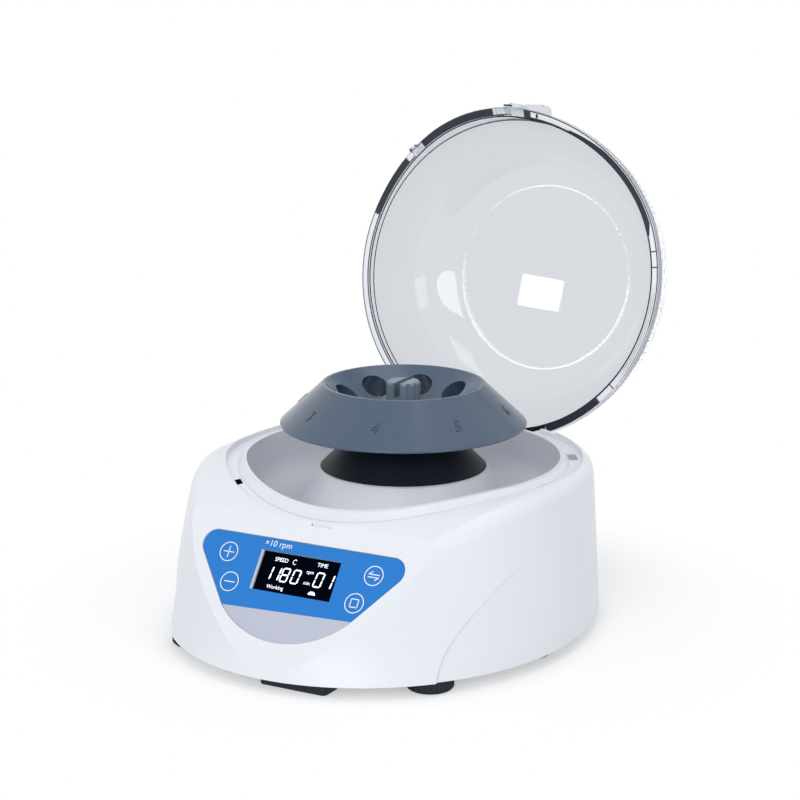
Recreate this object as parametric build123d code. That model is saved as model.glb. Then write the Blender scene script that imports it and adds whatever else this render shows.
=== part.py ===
from build123d import *
from math import cos, pi, radians, sin, sqrt, tan
import os

# Bench mini centrifuge. Origin on the spindle axis at bench level, +Z up, front towards -Y.
# Millimetres. The lid is drawn closed and then opened to its rest pose.

# General clearances and walls
fit_gap = 0.3          # gap between pieces that only pass each other
slip_gap = 0.05        # radial running fit on shafts and pins
shell_wall = 2.8       # wall of the moulded housing

# Ledge round the bowl: a channel the lid sits in, between the bowl's lip and the housing's wall
ledge_radius = 102.9   # outer edge of the lid's flange in the channel
channel_width = 6.0
lip_width = 1.8        # flat top of the bowl's lip
lip_slope = 3.4        # run and fall of the lip's outer slope
channel_wall_run = 0.3
wall_set_back = 1.0    # the channel's outer wall is centred this far behind the spindle
flange_radius = ledge_radius - channel_width
lip_outer_radius = flange_radius - lip_slope
lip_radius = lip_outer_radius - lip_width
ledge_drop = 3.8       # channel floor below the lip
lid_sink = 3.2         # how far the lid's rim lies below the lip line

# Body shell: plan widths at four heights
foot_height = 7.0      # bench to lower edge of the shell
base_half_width = 121.0
base_rear_radius = ledge_radius + 12.8
base_front_reach = 134.0
flare_z = 24.0         # height of the plan where the foot flare ends
flare_half_width = base_half_width - 0.5
flare_rear_radius = base_rear_radius - 0.8
flare_front_reach = base_front_reach - 8.0
waist_z = 50.0         # height of the middle plan
waist_half_width = base_half_width - 4.2
waist_rear_radius = base_rear_radius - 2.1
waist_front_reach = base_front_reach - 14.0
crown_z = 104.0        # height of the top plan, above the cut surface
crown_half_width = base_half_width - 12.0
crown_rear_radius = base_rear_radius - 5.7
crown_front_reach = base_front_reach - 35.5
widest_y = -24.0       # where the plan is widest
rear_arc_start = 24.0  # the rear arc begins this far behind the sides, degrees
crest_radius = 9.0     # rounding of all the upper edges

# Crease between the nose and the sides: the sides step in behind it
crease_step = 1.5      # at the base, fading to nothing at the crown
crease_end_y = 38.0
crease_low = (86.4, 0.0)       # across and height of the points the crease passes
crease_bend = (89.0, 28.0)
crease_sweep = (99.0, 46.5)
crease_high = (109.5, 64.0)
crease_out = (121.0, 80.0)

# Top surface: flat behind, arched down to the front, rising a little behind the spindle
rim_z = 96.1           # height of the bowl's lip
arch_start_y = -36.2   # the arch begins here
arch_radius = 157.2
top_drop = 0.4         # outer surface below the lip line
rear_rise_radius = 3900.0

# Sloped front and its panel
panel_tilt = 36.5      # degrees back from upright
panel_y = -119.9       # a point of the panel's face
panel_z = 57.0
panel_recess = 0.9     # panel face below the housing face
overlay_thickness = 0.8
panel_top = 16.5       # up the slope from the panel's reference point
panel_top_half = 72.5  # half width where the sides meet the top edge, before rounding
panel_corner = 8.0
panel_bow_half = 40.0  # half width where the sides turn into the bottom bow
panel_bow_v = -25.0
panel_bottom = -41.6
panel_bend = 22.0      # rounding between side and bow

# Display
display_width = 49.4
display_height = 23.2
display_drop = -2.2    # centre of the display on the slope
bezel_width = 1.6
bezel_depth = 1.6
window_thickness = 1.0

# Buttons
button_radius = 5.9
button_travel = 0.4
button_stem_radius = 2.6
button_thickness = 1.2
outer_button_x = 46.3
outer_button_v = 4.9
inner_button_x = 39.8
inner_button_v = -12.0


# Bowl and hill
bowl_wall = 2.2
bowl_floor_z = 64.0
bowl_draft = 3.1       # how much narrower the bowl is at its floor than at its lip
bowl_foot_radius = lip_radius - bowl_draft
bowl_corner = 18.0
flange_thickness = 2.0
hill_top_z = 89.5
hill_top_radius = 49.5
hill_foot_radius = 62.0
hill_hole_radius = 40.0

# Rubber boot
boot_radius = 48.7
boot_wall = 2.4
boot_top_z = 106.5
boot_top_radius = 31.0
boot_hole_radius = 19.0

# Rotor
rotor_radius = 72.0
rotor_edge_z = 115.9
rotor_bottom_z = 114.7
rotor_rim_radius = 47.2
rotor_top_z = 139.2
rotor_rim_width = 1.6
rotor_edge_round = 0.8
rotor_floor_radius = 15.5
rotor_floor_z = 117.0
rotor_hub_radius = 16.0
rotor_hub_z = 103.0
well_count = 8
well_radius = 8.3
well_circle = 34.4
well_centre_z = 129.3
well_tilt = 45.0
first_well_angle = 13.4   # measured from the front towards +X

# Spindle
shaft_radius = 4.0
shaft_bottom_z = 44.0
shaft_top_z = 109.0
adapter_foot_radius = 13.0
adapter_foot_z = 97.0
adapter_top_z = 115.0
adapter_low_radius = 9.0
adapter_high_radius = 7.0
stud_radius = 3.0
stud_top_z = 128.0

# Lock knob
knob_radius = 10.0
knob_top_z = 140.0
knob_flutes = 12
flute_radius = 1.5
knob_slot_width = 3.6
knob_slot_depth = 9.0
knob_slot_angle = 92.5  # from +X

# Lid
hinge_y = ledge_radius - 0.59
hinge_z = 82.8
lid_angle = 101.3      # from closed to the open stop
lid_wall = 3.0
skirt_radius = ledge_radius - 3.4
skirt_height = 8.8
dome_height = 60.0     # above the lip line
dome_flat_radius = 56.0
dome_power = 2.11
lid_flange_thickness = 3.6
lid_flange_inner = flange_radius + 0.2
lid_seat_gap = 0.3
seal_thickness = 1.4
seal_inner = flange_radius + 0.9
seal_outer = ledge_radius - 0.6
tab_half_width = 15.7
tab_reach = ledge_radius + 3.4
tab_bottom = 10.8      # above the channel floor
tab_thickness = 4.0

# Latch and hook
latch_x = 6.0          # the latch sits a little right of the middle
latch_half_width = 5.6
latch_tongue_thickness = 1.6
latch_tongue_length = 12.0
latch_gap_left = -11.0  # the seal stops here for the latch
latch_tongue_y = 0.9 - ledge_radius   # back face of the tongue
latch_slot_front = -1.5 - ledge_radius
latch_slot_back = 1.3 - ledge_radius
bolt_radius = 1.6
bolt_drop = 3.0        # centre of the bolt above the tongue's tip
hook_angle = 42.5      # from the front towards -X
hook_radius = ledge_radius - 3.3
hook_width = 5.4
hook_thickness = 2.6
hook_length = 7.0

# Pad let into the ledge
pad_angle = 122.6
pad_radius = ledge_radius - 3.3
pad_length = 13.6
pad_width = 5.2
pad_depth = 2.0
pad_sink = 0.4         # pad's face below the ledge

# Hinge
bay_half_width = 42.0
bay_floor_z = 74.0
bay_front_y = hinge_y - 6.8
swing_half_width = 56.0   # shallow cut beside the bay that the lid's rim swings through
swing_front_y = 84.0
swing_floor_z = 94.2
bracket_foot = 2.0
ear_screw_x = 14.0
leaf_screw_x = 22.0
leaf_screw_y = hinge_y - 3.8
leaf_screw_head = 2.0
neck_half_width = 16.0
leaf_pad = 2.8
leaf_front = 4.3       # front face of the leaf's neck, ahead of the rod
pad_front = 6.0        # front face of the leaf's pad, ahead of the rod
knuckle_radius = 5.0
knuckle_half_width = 27.4
ear_inner_x = 28.0
ear_width = 5.0
rod_radius = 2.5
leaf_half_width = 37.0

# Motor
motor_radius = 30.0
motor_bottom_z = 47.0
motor_top_z = 84.0
motor_wall = 2.5
motor_cap = 3.0
motor_screw_circle = 19.0
motor_screw_turns = (45, 135, 225, 315)
bearing_radius = 11.0
bearing_height = 7.0
plate_thickness = 3.0
motor_plate_radius = 47.0
mount_circle = 38.5
mount_radius = 7.5
mount_height = 14.0
mount_count = 3
pillar_radius = 8.0
mount_bolt_radius = 2.0
bolt_hole_radius = 2.05

# Base
base_thickness = 3.0
boss_radius = 5.0
screw_radius = 1.6
screw_head_radius = 3.0
boss_places = [(87.0, -62.0), (-87.0, -62.0), (70.0, 75.0), (-70.0, 75.0)]
foot_radius = 12.5
foot_places = [(76.0, -108.0), (-76.0, -108.0), (98.0, -32.0), (-98.0, -32.0), (68.0, 76.0), (-68.0, 76.0)]
front_foot_x = 13.0
front_foot_y = -141.0
front_foot_length = 42.0
front_foot_width = 15.0
vent_count = 7
vent_pitch = 9.0
vent_width = 4.0
vent_middle_y = 30.0
vent_x = (66.0, 96.0)

# Boards
board_thickness = 1.6
board_setback = 9.0    # control board behind the panel face
board_top = 12.0
board_half_width = 56.0
switch_stroke_top = 4.1   # top of a push switch above its board
key_slack = 0.1           # gap between a stem and its switch at full stroke
standoff_radius = 3.0
pilot_radius = 1.05
power_board_rise = 6.0    # board above the base plate
power_board_x = (-104.0, -58.0)
power_board_y = (-48.0, 38.0)
power_post_x = (-99.0, -63.0)
power_post_y = (-43.0, 33.0)

# Back of the housing
inlet_face_y = base_rear_radius - 5.1
inlet_z = 40.0
inlet_x = -14.0
inlet_width = 28.0
inlet_height = 20.0
inlet_depth = 20.0
rocker_x = 15.5
rocker_width = 14.0
rocker_height = 20.0
rocker_setback = 2.4   # pivot behind the recess face
rocker_reach = 8.7
rocker_tilt = 8.0
rocker_pin_radius = 1.2
frame_wall = 1.5       # side wall of the switch frame
frame_depth = 16.0
flange_lip = 1.4       # how far the fittings' flanges cover the recess
flange_lip_depth = 1.6
recess_half_width = 33.0
recess_half_height = 15.0

up_slope = Vector(0, sin(radians(panel_tilt)), cos(radians(panel_tilt)))
off_slope = Vector(0, -cos(radians(panel_tilt)), sin(radians(panel_tilt)))
panel_plane = Plane(origin=(0, panel_y, panel_z), x_dir=(1, 0, 0), z_dir=off_slope)


def cylinder(radius, bottom, top, x=0.0, y=0.0):
    """Upright cylinder between two heights."""
    return Pos(x, y, (bottom + top) / 2) * Cylinder(radius, top - bottom)


def box(x0, x1, y0, y1, z0, z1):
    """Box between two corners."""
    return Pos((x0 + x1) / 2, (y0 + y1) / 2, (z0 + z1) / 2) * Box(x1 - x0, y1 - y0, z1 - z0)


def turned(points):
    """Solid of revolution about the spindle from straight-sided (radius, height) points."""
    return revolve(Plane.XZ * make_face(Polyline(*points, close=True)), Axis.Z)


def plan(half_width, rear_radius, front_reach, z):
    """Plan of the body: a front half ellipse, two side curves and a rear arc about the spindle."""
    turn = radians(rear_arc_start)
    join = (rear_radius * cos(turn), rear_radius * sin(turn))
    front = EllipticalCenterArc((0, widest_y), half_width, front_reach, 180, arc_size=180)
    right = Spline((half_width, widest_y), join, tangents=[(0, 1), (-sin(turn), cos(turn))])
    rear = ThreePointArc(join, (0, rear_radius), (-join[0], join[1]))
    left = Spline((-join[0], join[1]), (-half_width, widest_y), tangents=[(-sin(turn), -cos(turn)), (0, -1)])
    return Pos(0, 0, z) * make_face(Curve() + [front, right, rear, left])


def body_loft(inset, bottom, side_step=0.0):
    """Side wall of the body, moved inwards by inset and, at its sides, by a step that fades upwards."""
    drop = (foot_height - bottom) / (flare_z - foot_height)
    waist_step = side_step / 2
    low = plan(
        base_half_width + drop * (base_half_width - flare_half_width) - inset - side_step,
        base_rear_radius + drop * (base_rear_radius - flare_rear_radius) - inset,
        base_front_reach + drop * (base_front_reach - flare_front_reach) - inset - side_step,
        bottom,
    )
    flare = plan(
        flare_half_width - inset - side_step, flare_rear_radius - inset,
        flare_front_reach - inset - side_step, flare_z,
    )
    waist = plan(
        waist_half_width - inset - waist_step, waist_rear_radius - inset,
        waist_front_reach - inset - waist_step, waist_z,
    )
    crown = plan(crown_half_width - inset, crown_rear_radius - inset, crown_front_reach - inset, crown_z)
    return loft([low, flare, waist, crown])


def arch_height(y, drop=0.0):
    """Height of the lip line at y, lowered by drop."""
    fall = max(0.0, arch_start_y - y)
    return rim_z - drop - (arch_radius - sqrt(arch_radius**2 - fall**2))


def below_arch(drop):
    """Everything below the lip line lowered by drop: flat behind, arched in front."""
    front_y = -130.0
    half = (front_y + arch_start_y) / 2
    arc = ThreePointArc(
        (front_y, arch_height(front_y, drop)),
        (half, arch_height(half, drop)),
        (arch_start_y, rim_z - drop),
    )
    back = Polyline(
        (arch_start_y, rim_z - drop), (170, rim_z - drop), (170, -20), (front_y, -20),
        (front_y, arch_height(front_y, drop)),
    )
    return extrude(Plane.YZ * make_face(Curve() + [arc, back]), 150, both=True)


def below_top(drop, front_inset):
    """Everything under the housing's top surface and behind its sloped front."""
    start = Vector(0, panel_y, panel_z) + off_slope * (panel_recess - front_inset)
    slope = tan(radians(90 - panel_tilt))
    y = arch_start_y
    while arch_height(y, drop + top_drop) < start.Z + (y - start.Y) * slope:
        y -= 0.01
    meet = (y, arch_height(y, drop + top_drop))
    foot_z = -20.0
    foot = (start.Y + (foot_z - start.Z) / slope, foot_z)
    half = (y + arch_start_y) / 2
    on_arch = (half, arch_height(half, drop + top_drop))
    arc = ThreePointArc(meet, on_arch, (arch_start_y, rim_z - top_drop - drop))
    rear_y = 140.0
    level = rim_z - top_drop - drop
    rise = [
        (at, level + at**2 / (2 * rear_rise_radius)) for at in (rear_y / 2, rear_y)
    ]
    flat = Line((arch_start_y, level), (0, level))
    rear = ThreePointArc((0, level), rise[0], rise[1])
    back = Polyline(rise[1], (rear_y, foot_z), foot, meet)
    return extrude(Plane.YZ * make_face(Curve() + [arc, flat, rear, back]), 150, both=True)


def opened(shape):
    """Turns a lid piece from closed to its open rest pose."""
    return shape.rotate(Axis((0, hinge_y, hinge_z), (1, 0, 0)), -lid_angle)


def panel_outline(grow):
    """Outline of the panel on its slope: wide top, sides drawn in, bowed bottom."""
    corner = (panel_top_half, panel_top)
    bend = (panel_bow_half, panel_bow_v)
    sides = Polyline((-bend[0], bend[1]), (-corner[0], corner[1]), corner, bend)
    bow = ThreePointArc(bend, (0, panel_bottom), (-bend[0], bend[1]))
    face = make_face(Curve() + [sides, bow])
    top_corners = face.vertices().filter_by(lambda v: v.Y > 0)
    face = fillet(top_corners, panel_corner)
    bends = face.vertices().filter_by(lambda v: abs(v.Y - panel_bow_v) < 0.01)
    face = fillet(bends, panel_bend)
    return offset(face, grow) if grow else face


def on_panel(x, v, depth):
    """Place on the slope: x across, v up the slope, depth in front of the panel's face."""
    return panel_plane.location * Pos(x, v, depth)


def ring(inner, outer, bottom_drop, top_drop_value):
    """Ring about the spindle that follows the lip line, from one drop to another."""
    tube = cylinder(outer, 40, 130) - cylinder(inner, 40, 130)
    return (tube & below_arch(top_drop_value)) - below_arch(bottom_drop)


def around(radius, angle, z=0.0):
    """Place at an angle from the front towards +X, turned to face outwards along its own +X."""
    a = radians(angle)
    return Pos(radius * sin(a), -radius * cos(a), z) * Rot(0, 0, angle - 90)


button_places = {
    "button_plus": (-outer_button_x, outer_button_v),
    "button_minus": (-inner_button_x, inner_button_v),
    "button_direction": (outer_button_x, outer_button_v),
    "button_start_stop": (inner_button_x, inner_button_v),
}
mount_places = [
    (mount_circle * cos(2 * pi * n / mount_count), mount_circle * sin(2 * pi * n / mount_count))
    for n in range(mount_count)
]
mount_bottom_z = motor_bottom_z - plate_thickness - mount_height
base_top_z = foot_height + base_thickness
power_board_z = base_top_z + power_board_rise
power_posts = [(x, y) for x in power_post_x for y in power_post_y]
motor_screw_places = [
    (motor_screw_circle * cos(radians(a)), motor_screw_circle * sin(radians(a))) for a in motor_screw_turns
]
upper_bearing_z = motor_top_z - bearing_height - 2.0
lower_bearing_z = motor_bottom_z + 2.0
standoff_places = [(33.5, 8.0), (-33.5, 8.0), (20.0, -22.0), (-20.0, -22.0)]
bezel_outer = (display_width + 2 * bezel_width, display_height + 2 * bezel_width)
roof_drop = ledge_drop + shell_wall + 2.6   # underside of the housing's roof, below the lip line
housing_bore = lip_radius + bowl_wall + 0.45
seat_drop = ledge_drop + flange_thickness
lid_bottom_drop = ledge_drop - lid_seat_gap - seal_thickness
inner_skin = -shell_wall                    # inside of the front wall, from the panel's face
solenoid_face_y = latch_slot_back + 0.2
button_stem_end = switch_stroke_top + button_travel + key_slack - board_setback
latch_level = arch_height(-ledge_radius, ledge_drop)   # ledge at its foremost point
bolt_height = latch_level - latch_tongue_length + bolt_drop
rocker_pivot_y = inlet_face_y - rocker_setback


def front_block(width, height, low, high, x=0.0, v=0.0):
    """Block square to the slope, between two depths from the panel's face."""
    return on_panel(x, v, (low + high) / 2) * Box(width, height, high - low)


def front_post(radius, low, high, x, v):
    """Post square to the slope, between two depths from the panel's face."""
    return on_panel(x, v, (low + high) / 2) * Cylinder(radius, high - low)


def side_relief():
    """What the sides lose behind the crease: outside the stepped wall and beyond the crease's curve."""
    curve = Spline(crease_low, crease_bend, crease_sweep, crease_high, crease_out)
    rest = Polyline(crease_out, (150, 80), (150, 0), crease_low)
    beyond = extrude(Plane.XZ * make_face(Curve() + [curve, rest]), 150, both=True)
    beyond &= box(0, 150, -140, crease_end_y, 0, 80)
    right = beyond - body_loft(0, 0, crease_step)
    return right + mirror(right, Plane.YZ)


def upper_housing():
    """White moulded shell with its ledge, hinge bay, panel seat and rear openings."""
    outer = body_loft(0, foot_height) & below_top(0, 0)
    seam_limit = -60.0
    crest = ShapeList([
        e for e in outer.edges()
        if (e.center().Z > 70 and not (e.geom_type == GeomType.LINE and e.center().Y > seam_limit))
        or (e.center().Y < -110 and e.center().Z > 10)
    ])
    outer = fillet(crest, crest_radius) - side_relief()
    hollow = body_loft(shell_wall, foot_height - 1)
    hollow &= below_top(roof_drop - top_drop, shell_wall + panel_recess)
    hollow -= box(
        -bay_half_width - shell_wall, bay_half_width + shell_wall,
        bay_front_y - shell_wall, 140, bay_floor_z - shell_wall, 110,
    )
    hollow -= box(
        -recess_half_width, recess_half_width, inlet_face_y - shell_wall, 140,
        inlet_z - recess_half_height, inlet_z + recess_half_height,
    )
    for x, y in boss_places:
        hollow -= cylinder(boss_radius, base_top_z, crown_z, x, y)
    for x, v in standoff_places:
        hollow -= front_post(standoff_radius, -board_setback, 2, x, v)
    shell = outer - hollow
    ledge_level = rim_z - ledge_drop
    seat = ledge_radius + fit_gap + wall_set_back
    wall_top = (seat + channel_wall_run, rim_z)
    opening = turned([
        (0, 50), (seat, 50), (seat, ledge_level), wall_top, (wall_top[0], 110), (0, 110),
    ])
    shell -= Pos(0, wall_set_back, 0) * opening - below_arch(ledge_drop)
    shell -= cylinder(flange_radius + slip_gap, 50, 110) - below_arch(seat_drop)
    shell -= cylinder(housing_bore, 50, 110)
    shell -= box(-bay_half_width, bay_half_width, bay_front_y, 140, bay_floor_z, 110)
    shell -= box(-swing_half_width, swing_half_width, swing_front_y, 140, swing_floor_z, 110)
    panel_seat = extrude(panel_outline(fit_gap), 8)
    shell -= on_panel(0, 0, -overlay_thickness) * panel_seat
    shell -= front_block(bezel_outer[0] + 0.2, bezel_outer[1] + 0.2, -8, 1, 0, display_drop)
    for x, v in button_places.values():
        shell -= front_post(button_radius + 0.4, -8, 1, x, v)
    for x, v in standoff_places:
        shell -= front_post(pilot_radius, -board_setback - 1, -board_setback + 5, x, v)
    for x, y in boss_places:
        shell -= cylinder(1.52, base_top_z - 1, base_top_z + 12, x, y)
    slot_half = latch_half_width + 0.6
    shell -= box(latch_x - slot_half, latch_x + slot_half, latch_slot_front, latch_slot_back, 66, 95)
    shell -= around(hook_radius, -hook_angle, 85) * Box(hook_thickness + 0.9, hook_width + 1.2, 20)
    pad_top = rim_z - ledge_drop
    shell -= around(pad_radius, pad_angle, pad_top) * Box(pad_width + 0.2, pad_length + 0.2, 2 * pad_depth)
    shell -= box(
        3 - recess_half_width, recess_half_width - 3, inlet_face_y, 140,
        inlet_z + 2 - recess_half_height, inlet_z - 2 + recess_half_height,
    )
    shell -= rear_hole(inlet_x, inlet_width, inlet_height)
    return shell - rear_hole(rocker_x, rocker_width + 2 * frame_wall, rocker_height)


def rear_hole(x, width, height):
    """Hole through the recess for a fitting of this size."""
    fit = 0.1
    return box(
        x - width / 2 - fit, x + width / 2 + fit, 100, 140,
        inlet_z - height / 2 - fit, inlet_z + height / 2 + fit,
    )


def base_plate():
    """Bottom plate that fills the shell's lower edge, with pillars and vents."""
    plate = body_loft(shell_wall + fit_gap, foot_height)
    plate &= below_top(20, shell_wall + panel_recess + fit_gap)
    plate &= box(-150, 150, -180, 150, foot_height, base_top_z)
    for x, y in mount_places:
        plate += cylinder(pillar_radius, base_top_z - 1, mount_bottom_z, x, y)
        plate -= cylinder(bolt_hole_radius, foot_height + 1, mount_bottom_z + 1, x, y)
    for x, y in power_posts:
        plate += cylinder(standoff_radius, base_top_z - 1, power_board_z, x, y)
        plate -= cylinder(pilot_radius, base_top_z, power_board_z + 1, x, y)
    for x, y in boss_places:
        plate -= cylinder(screw_radius, foot_height - 1, base_top_z + 1, x, y)
        plate -= cylinder(screw_head_radius + 0.2, foot_height - 1, foot_height + 1.8, x, y)
    for n in range(vent_count):
        y = vent_middle_y + (n - (vent_count - 1) / 2) * vent_pitch
        plate -= box(*vent_x, y - vent_width / 2, y + vent_width / 2, foot_height - 1, base_top_z + 1)
    return plate


def base_screws():
    """Countersunk screws that hold the plate to the shell's posts."""
    screws = []
    for x, y in boss_places:
        head = cylinder(screw_head_radius, foot_height + 0.2, foot_height + 1.8, x, y)
        screws.append(head + cylinder(1.5, foot_height + 1, base_top_z + 10, x, y))
    return Compound(children=screws)


def round_feet():
    """Round rubber feet under the plate."""
    feet = []
    for x, y in foot_places:
        foot = cylinder(foot_radius, 0, foot_height, x, y)
        feet.append(fillet(foot.edges().group_by(Axis.Z)[0], 1.2))
    return Compound(children=feet)


def front_foot():
    """Rectangular rubber foot under the front."""
    block = Box(front_foot_length, front_foot_width, foot_height)
    block = Pos(front_foot_x, front_foot_y, foot_height / 2) * block
    block = fillet(block.edges().filter_by(Axis.Z), 3.0)
    return fillet(block.edges().group_by(Axis.Z)[0], 0.8)


def top_edge(edge, radius):
    """Whether an edge runs round the spindle at this radius along the lip line."""
    place = edge @ 0.3
    round_it = abs(sqrt(place.X**2 + place.Y**2) - radius) < 0.05
    return round_it and abs(place.Z - arch_height(place.Y)) < 0.1


def chamber_bowl():
    """Bowl round the rotor: lip, tapered wall, floor and the tall hill in the middle."""
    floor = bowl_floor_z
    points = [
        (lip_radius, 110), (lip_radius, rim_z), (bowl_foot_radius, floor), (hill_foot_radius, floor),
        (hill_top_radius, hill_top_z), (hill_hole_radius, hill_top_z),
        (hill_hole_radius, hill_top_z - bowl_wall),
        (hill_top_radius - 1.7 * bowl_wall, hill_top_z - bowl_wall),
        (hill_foot_radius - bowl_wall, floor - bowl_wall),
        (bowl_foot_radius + bowl_wall, floor - bowl_wall),
        (lip_radius + bowl_wall, rim_z), (lip_radius + bowl_wall, 110),
    ]
    section = make_face(Polyline(*points, close=True))
    corner = section.vertices().filter_by(
        lambda v: v.X > 80 and v.Y < floor + 1 and abs(v.Y - floor) < bowl_wall + 1
    )
    section = fillet(corner, bowl_corner)
    foot = section.vertices().filter_by(lambda v: v.Y < floor + 1 and v.X < hill_foot_radius + 1)
    section = fillet(foot, 9.0)
    top = section.vertices().filter_by(lambda v: abs(v.X - hill_top_radius) < 0.1 and v.Y > 80)
    section = fillet(top, 1.5)
    bowl = revolve(Plane.XZ * section, Axis.Z) & below_arch(0)
    rim = ring(lip_radius, flange_radius, seat_drop, 0)
    outer_top = [e for e in rim.edges() if top_edge(e, flange_radius)]
    rim = chamfer(outer_top, lip_slope)
    inner_top = [e for e in rim.edges() if top_edge(e, lip_radius)]
    rim = fillet(inner_top, 0.7)
    return bowl + rim


def motor_boot():
    """Black rubber cone that closes the hill and leaves the spindle free."""
    rise = boot_top_z - hill_top_z
    inner = boot_wall * 1.414
    points = [
        (boot_radius, hill_top_z), (boot_radius - rise, boot_top_z), (boot_hole_radius, boot_top_z),
        (boot_hole_radius, boot_top_z - boot_wall),
        (boot_radius - rise + boot_wall - inner, boot_top_z - boot_wall),
        (boot_radius - inner - boot_wall, hill_top_z + boot_wall),
        (hill_hole_radius - 2 * boot_wall, hill_top_z + boot_wall),
        (hill_hole_radius - 2 * boot_wall, 86.5),
        (hill_hole_radius - fit_gap, 86.5), (hill_hole_radius - fit_gap, hill_top_z),
    ]
    return turned(points)


def rotor():
    """Angle rotor: outer cone, bowl inside, slanted through wells and a tapered bore."""
    rim_inner = rotor_rim_radius - rotor_rim_width
    bore_low = adapter_low_radius + slip_gap
    bore_high = adapter_high_radius + slip_gap
    outline = Polyline(
        (bore_high, rotor_floor_z), (bore_high, adapter_top_z), (bore_low, rotor_hub_z),
        (rotor_hub_radius, rotor_hub_z), (rotor_hub_radius, rotor_bottom_z + 0.9),
        (rotor_radius - 9, rotor_bottom_z + 0.9), (rotor_radius - 7, rotor_bottom_z),
        (rotor_radius, rotor_bottom_z), (rotor_radius, rotor_edge_z),
        (rotor_rim_radius, rotor_top_z), (rim_inner, rotor_top_z),
    )
    middle = ((rim_inner + rotor_floor_radius) / 2 + 0.5, (rotor_top_z + rotor_floor_z) / 2 - 0.7)
    dish = ThreePointArc((rim_inner, rotor_top_z), middle, (rotor_floor_radius, rotor_floor_z))
    floor = Line((rotor_floor_radius, rotor_floor_z), (bore_high, rotor_floor_z))
    section = make_face(Curve() + [outline, dish, floor])
    edge = section.vertices().filter_by(lambda v: abs(v.X - rotor_radius) < 0.1)
    section = fillet(edge, rotor_edge_round)
    rim = section.vertices().filter_by(lambda v: v.Y > rotor_top_z - 0.1)
    section = fillet(rim, 0.7)
    body = revolve(Plane.XZ * section, Axis.Z)
    above = 14.0
    below = 46.0
    for n in range(well_count):
        angle = first_well_angle + n * 360 / well_count
        well = Pos(0, 0, (above - below) / 2) * Cylinder(well_radius, above + below)
        body -= around(well_circle, angle, well_centre_z) * Rot(0, -well_tilt, 0) * well
    return body


def rotor_adapter():
    """Tapered hub on the motor shaft, with the stud that the knob screws onto."""
    points = [
        (0, stud_top_z), (stud_radius - 0.6, stud_top_z), (stud_radius, stud_top_z - 0.6),
        (stud_radius, adapter_top_z), (adapter_high_radius, adapter_top_z), (adapter_low_radius, rotor_hub_z),
        (adapter_foot_radius, rotor_hub_z), (adapter_foot_radius, adapter_foot_z), (0, adapter_foot_z),
    ]
    return turned(points) - cylinder(shaft_radius, adapter_foot_z - 1, shaft_top_z)


def rotor_lock_knob():
    """Fluted knob with a slot across its top."""
    knob = cylinder(knob_radius, rotor_floor_z, knob_top_z)
    knob = chamfer(knob.edges().group_by(Axis.Z)[-1], 1.2)
    for n in range(knob_flutes):
        angle = 2 * pi * (n + 0.5) / knob_flutes
        knob -= cylinder(
            flute_radius, rotor_floor_z - 1, knob_top_z + 1,
            (knob_radius + 0.3) * cos(angle), (knob_radius + 0.3) * sin(angle),
        )
    slot = Pos(0, 0, knob_top_z) * Rot(0, 0, knob_slot_angle)
    knob -= slot * Box(4 * knob_radius, knob_slot_width, 2 * knob_slot_depth)
    return knob - cylinder(stud_radius + slip_gap, rotor_floor_z - 1, stud_top_z + 1)


def dome_profile(inset):
    """Outline of the dome's half section, moved inwards by inset."""
    base = skirt_radius - inset
    flat = dome_flat_radius
    low = rim_z - lid_sink + skirt_height
    high = rim_z - lid_sink + dome_height - inset
    steps = 7
    points = []
    for n in range(1, steps):
        turn = radians(90 * n / steps)
        across = cos(turn) ** (2 / dome_power)
        up = sin(turn) ** (2 / dome_power)
        points.append((flat + (base - flat) * across, low + (high - low) * up))
    shoulder = Spline((base, low), *points, (flat, high), tangents=[(0, 1), (-1, 0)])
    rest = Polyline((flat, high), (0, high), (0, 60), (base, 60), (base, low))
    return revolve(Plane.XZ * make_face(Curve() + [shoulder, rest]), Axis.Z)


def lid_dome():
    """Clear lid: domed shell, flange that follows the ledge, and finger tab."""
    gasket_top = lid_bottom_drop
    shell = dome_profile(0) - dome_profile(lid_wall)
    shell -= below_arch(gasket_top)
    flange_top = gasket_top - lid_flange_thickness
    shell += ring(lid_flange_inner, ledge_radius, gasket_top, flange_top)
    tab_level = latch_level + tab_bottom
    tab = box(
        latch_x - tab_half_width, latch_x + tab_half_width, -tab_reach, -skirt_radius + 1,
        tab_level, tab_level + tab_thickness,
    )
    tab = fillet(tab.edges().filter_by(Axis.Z).group_by(Axis.Y)[0], 5.0)
    tab = fillet(tab.edges().group_by(Axis.Z)[-1], 1.5) - below_arch(gasket_top)
    return opened(shell + tab - cylinder(lid_flange_inner, 60, rim_z + 5 - lid_sink))


def seal_ring():
    """Gasket ring in the closed lid, before its gaps are cut."""
    return ring(seal_inner, seal_outer, ledge_drop - lid_seat_gap, lid_bottom_drop)


def lid_seal():
    """Dark gasket under the flange, open at the latch, at the hook and at the hinge."""
    seal = seal_ring()
    seal -= box(latch_gap_left - 0.3, latch_x + latch_half_width + 1.3, -120, -80, 60, 120)
    seal -= around(hook_radius, -hook_angle, 90) * Box(30, hook_width + 4, 60)
    seal -= box(-leaf_half_width - 0.5, leaf_half_width + 0.5, 60, 120, 60, 120)
    return opened(seal)


def lid_latch_block():
    """Clear filler in the gasket's gap beside the latch."""
    return opened(seal_ring() & box(latch_gap_left, latch_x - latch_half_width - 0.7, -120, -80, 60, 120))


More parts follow.
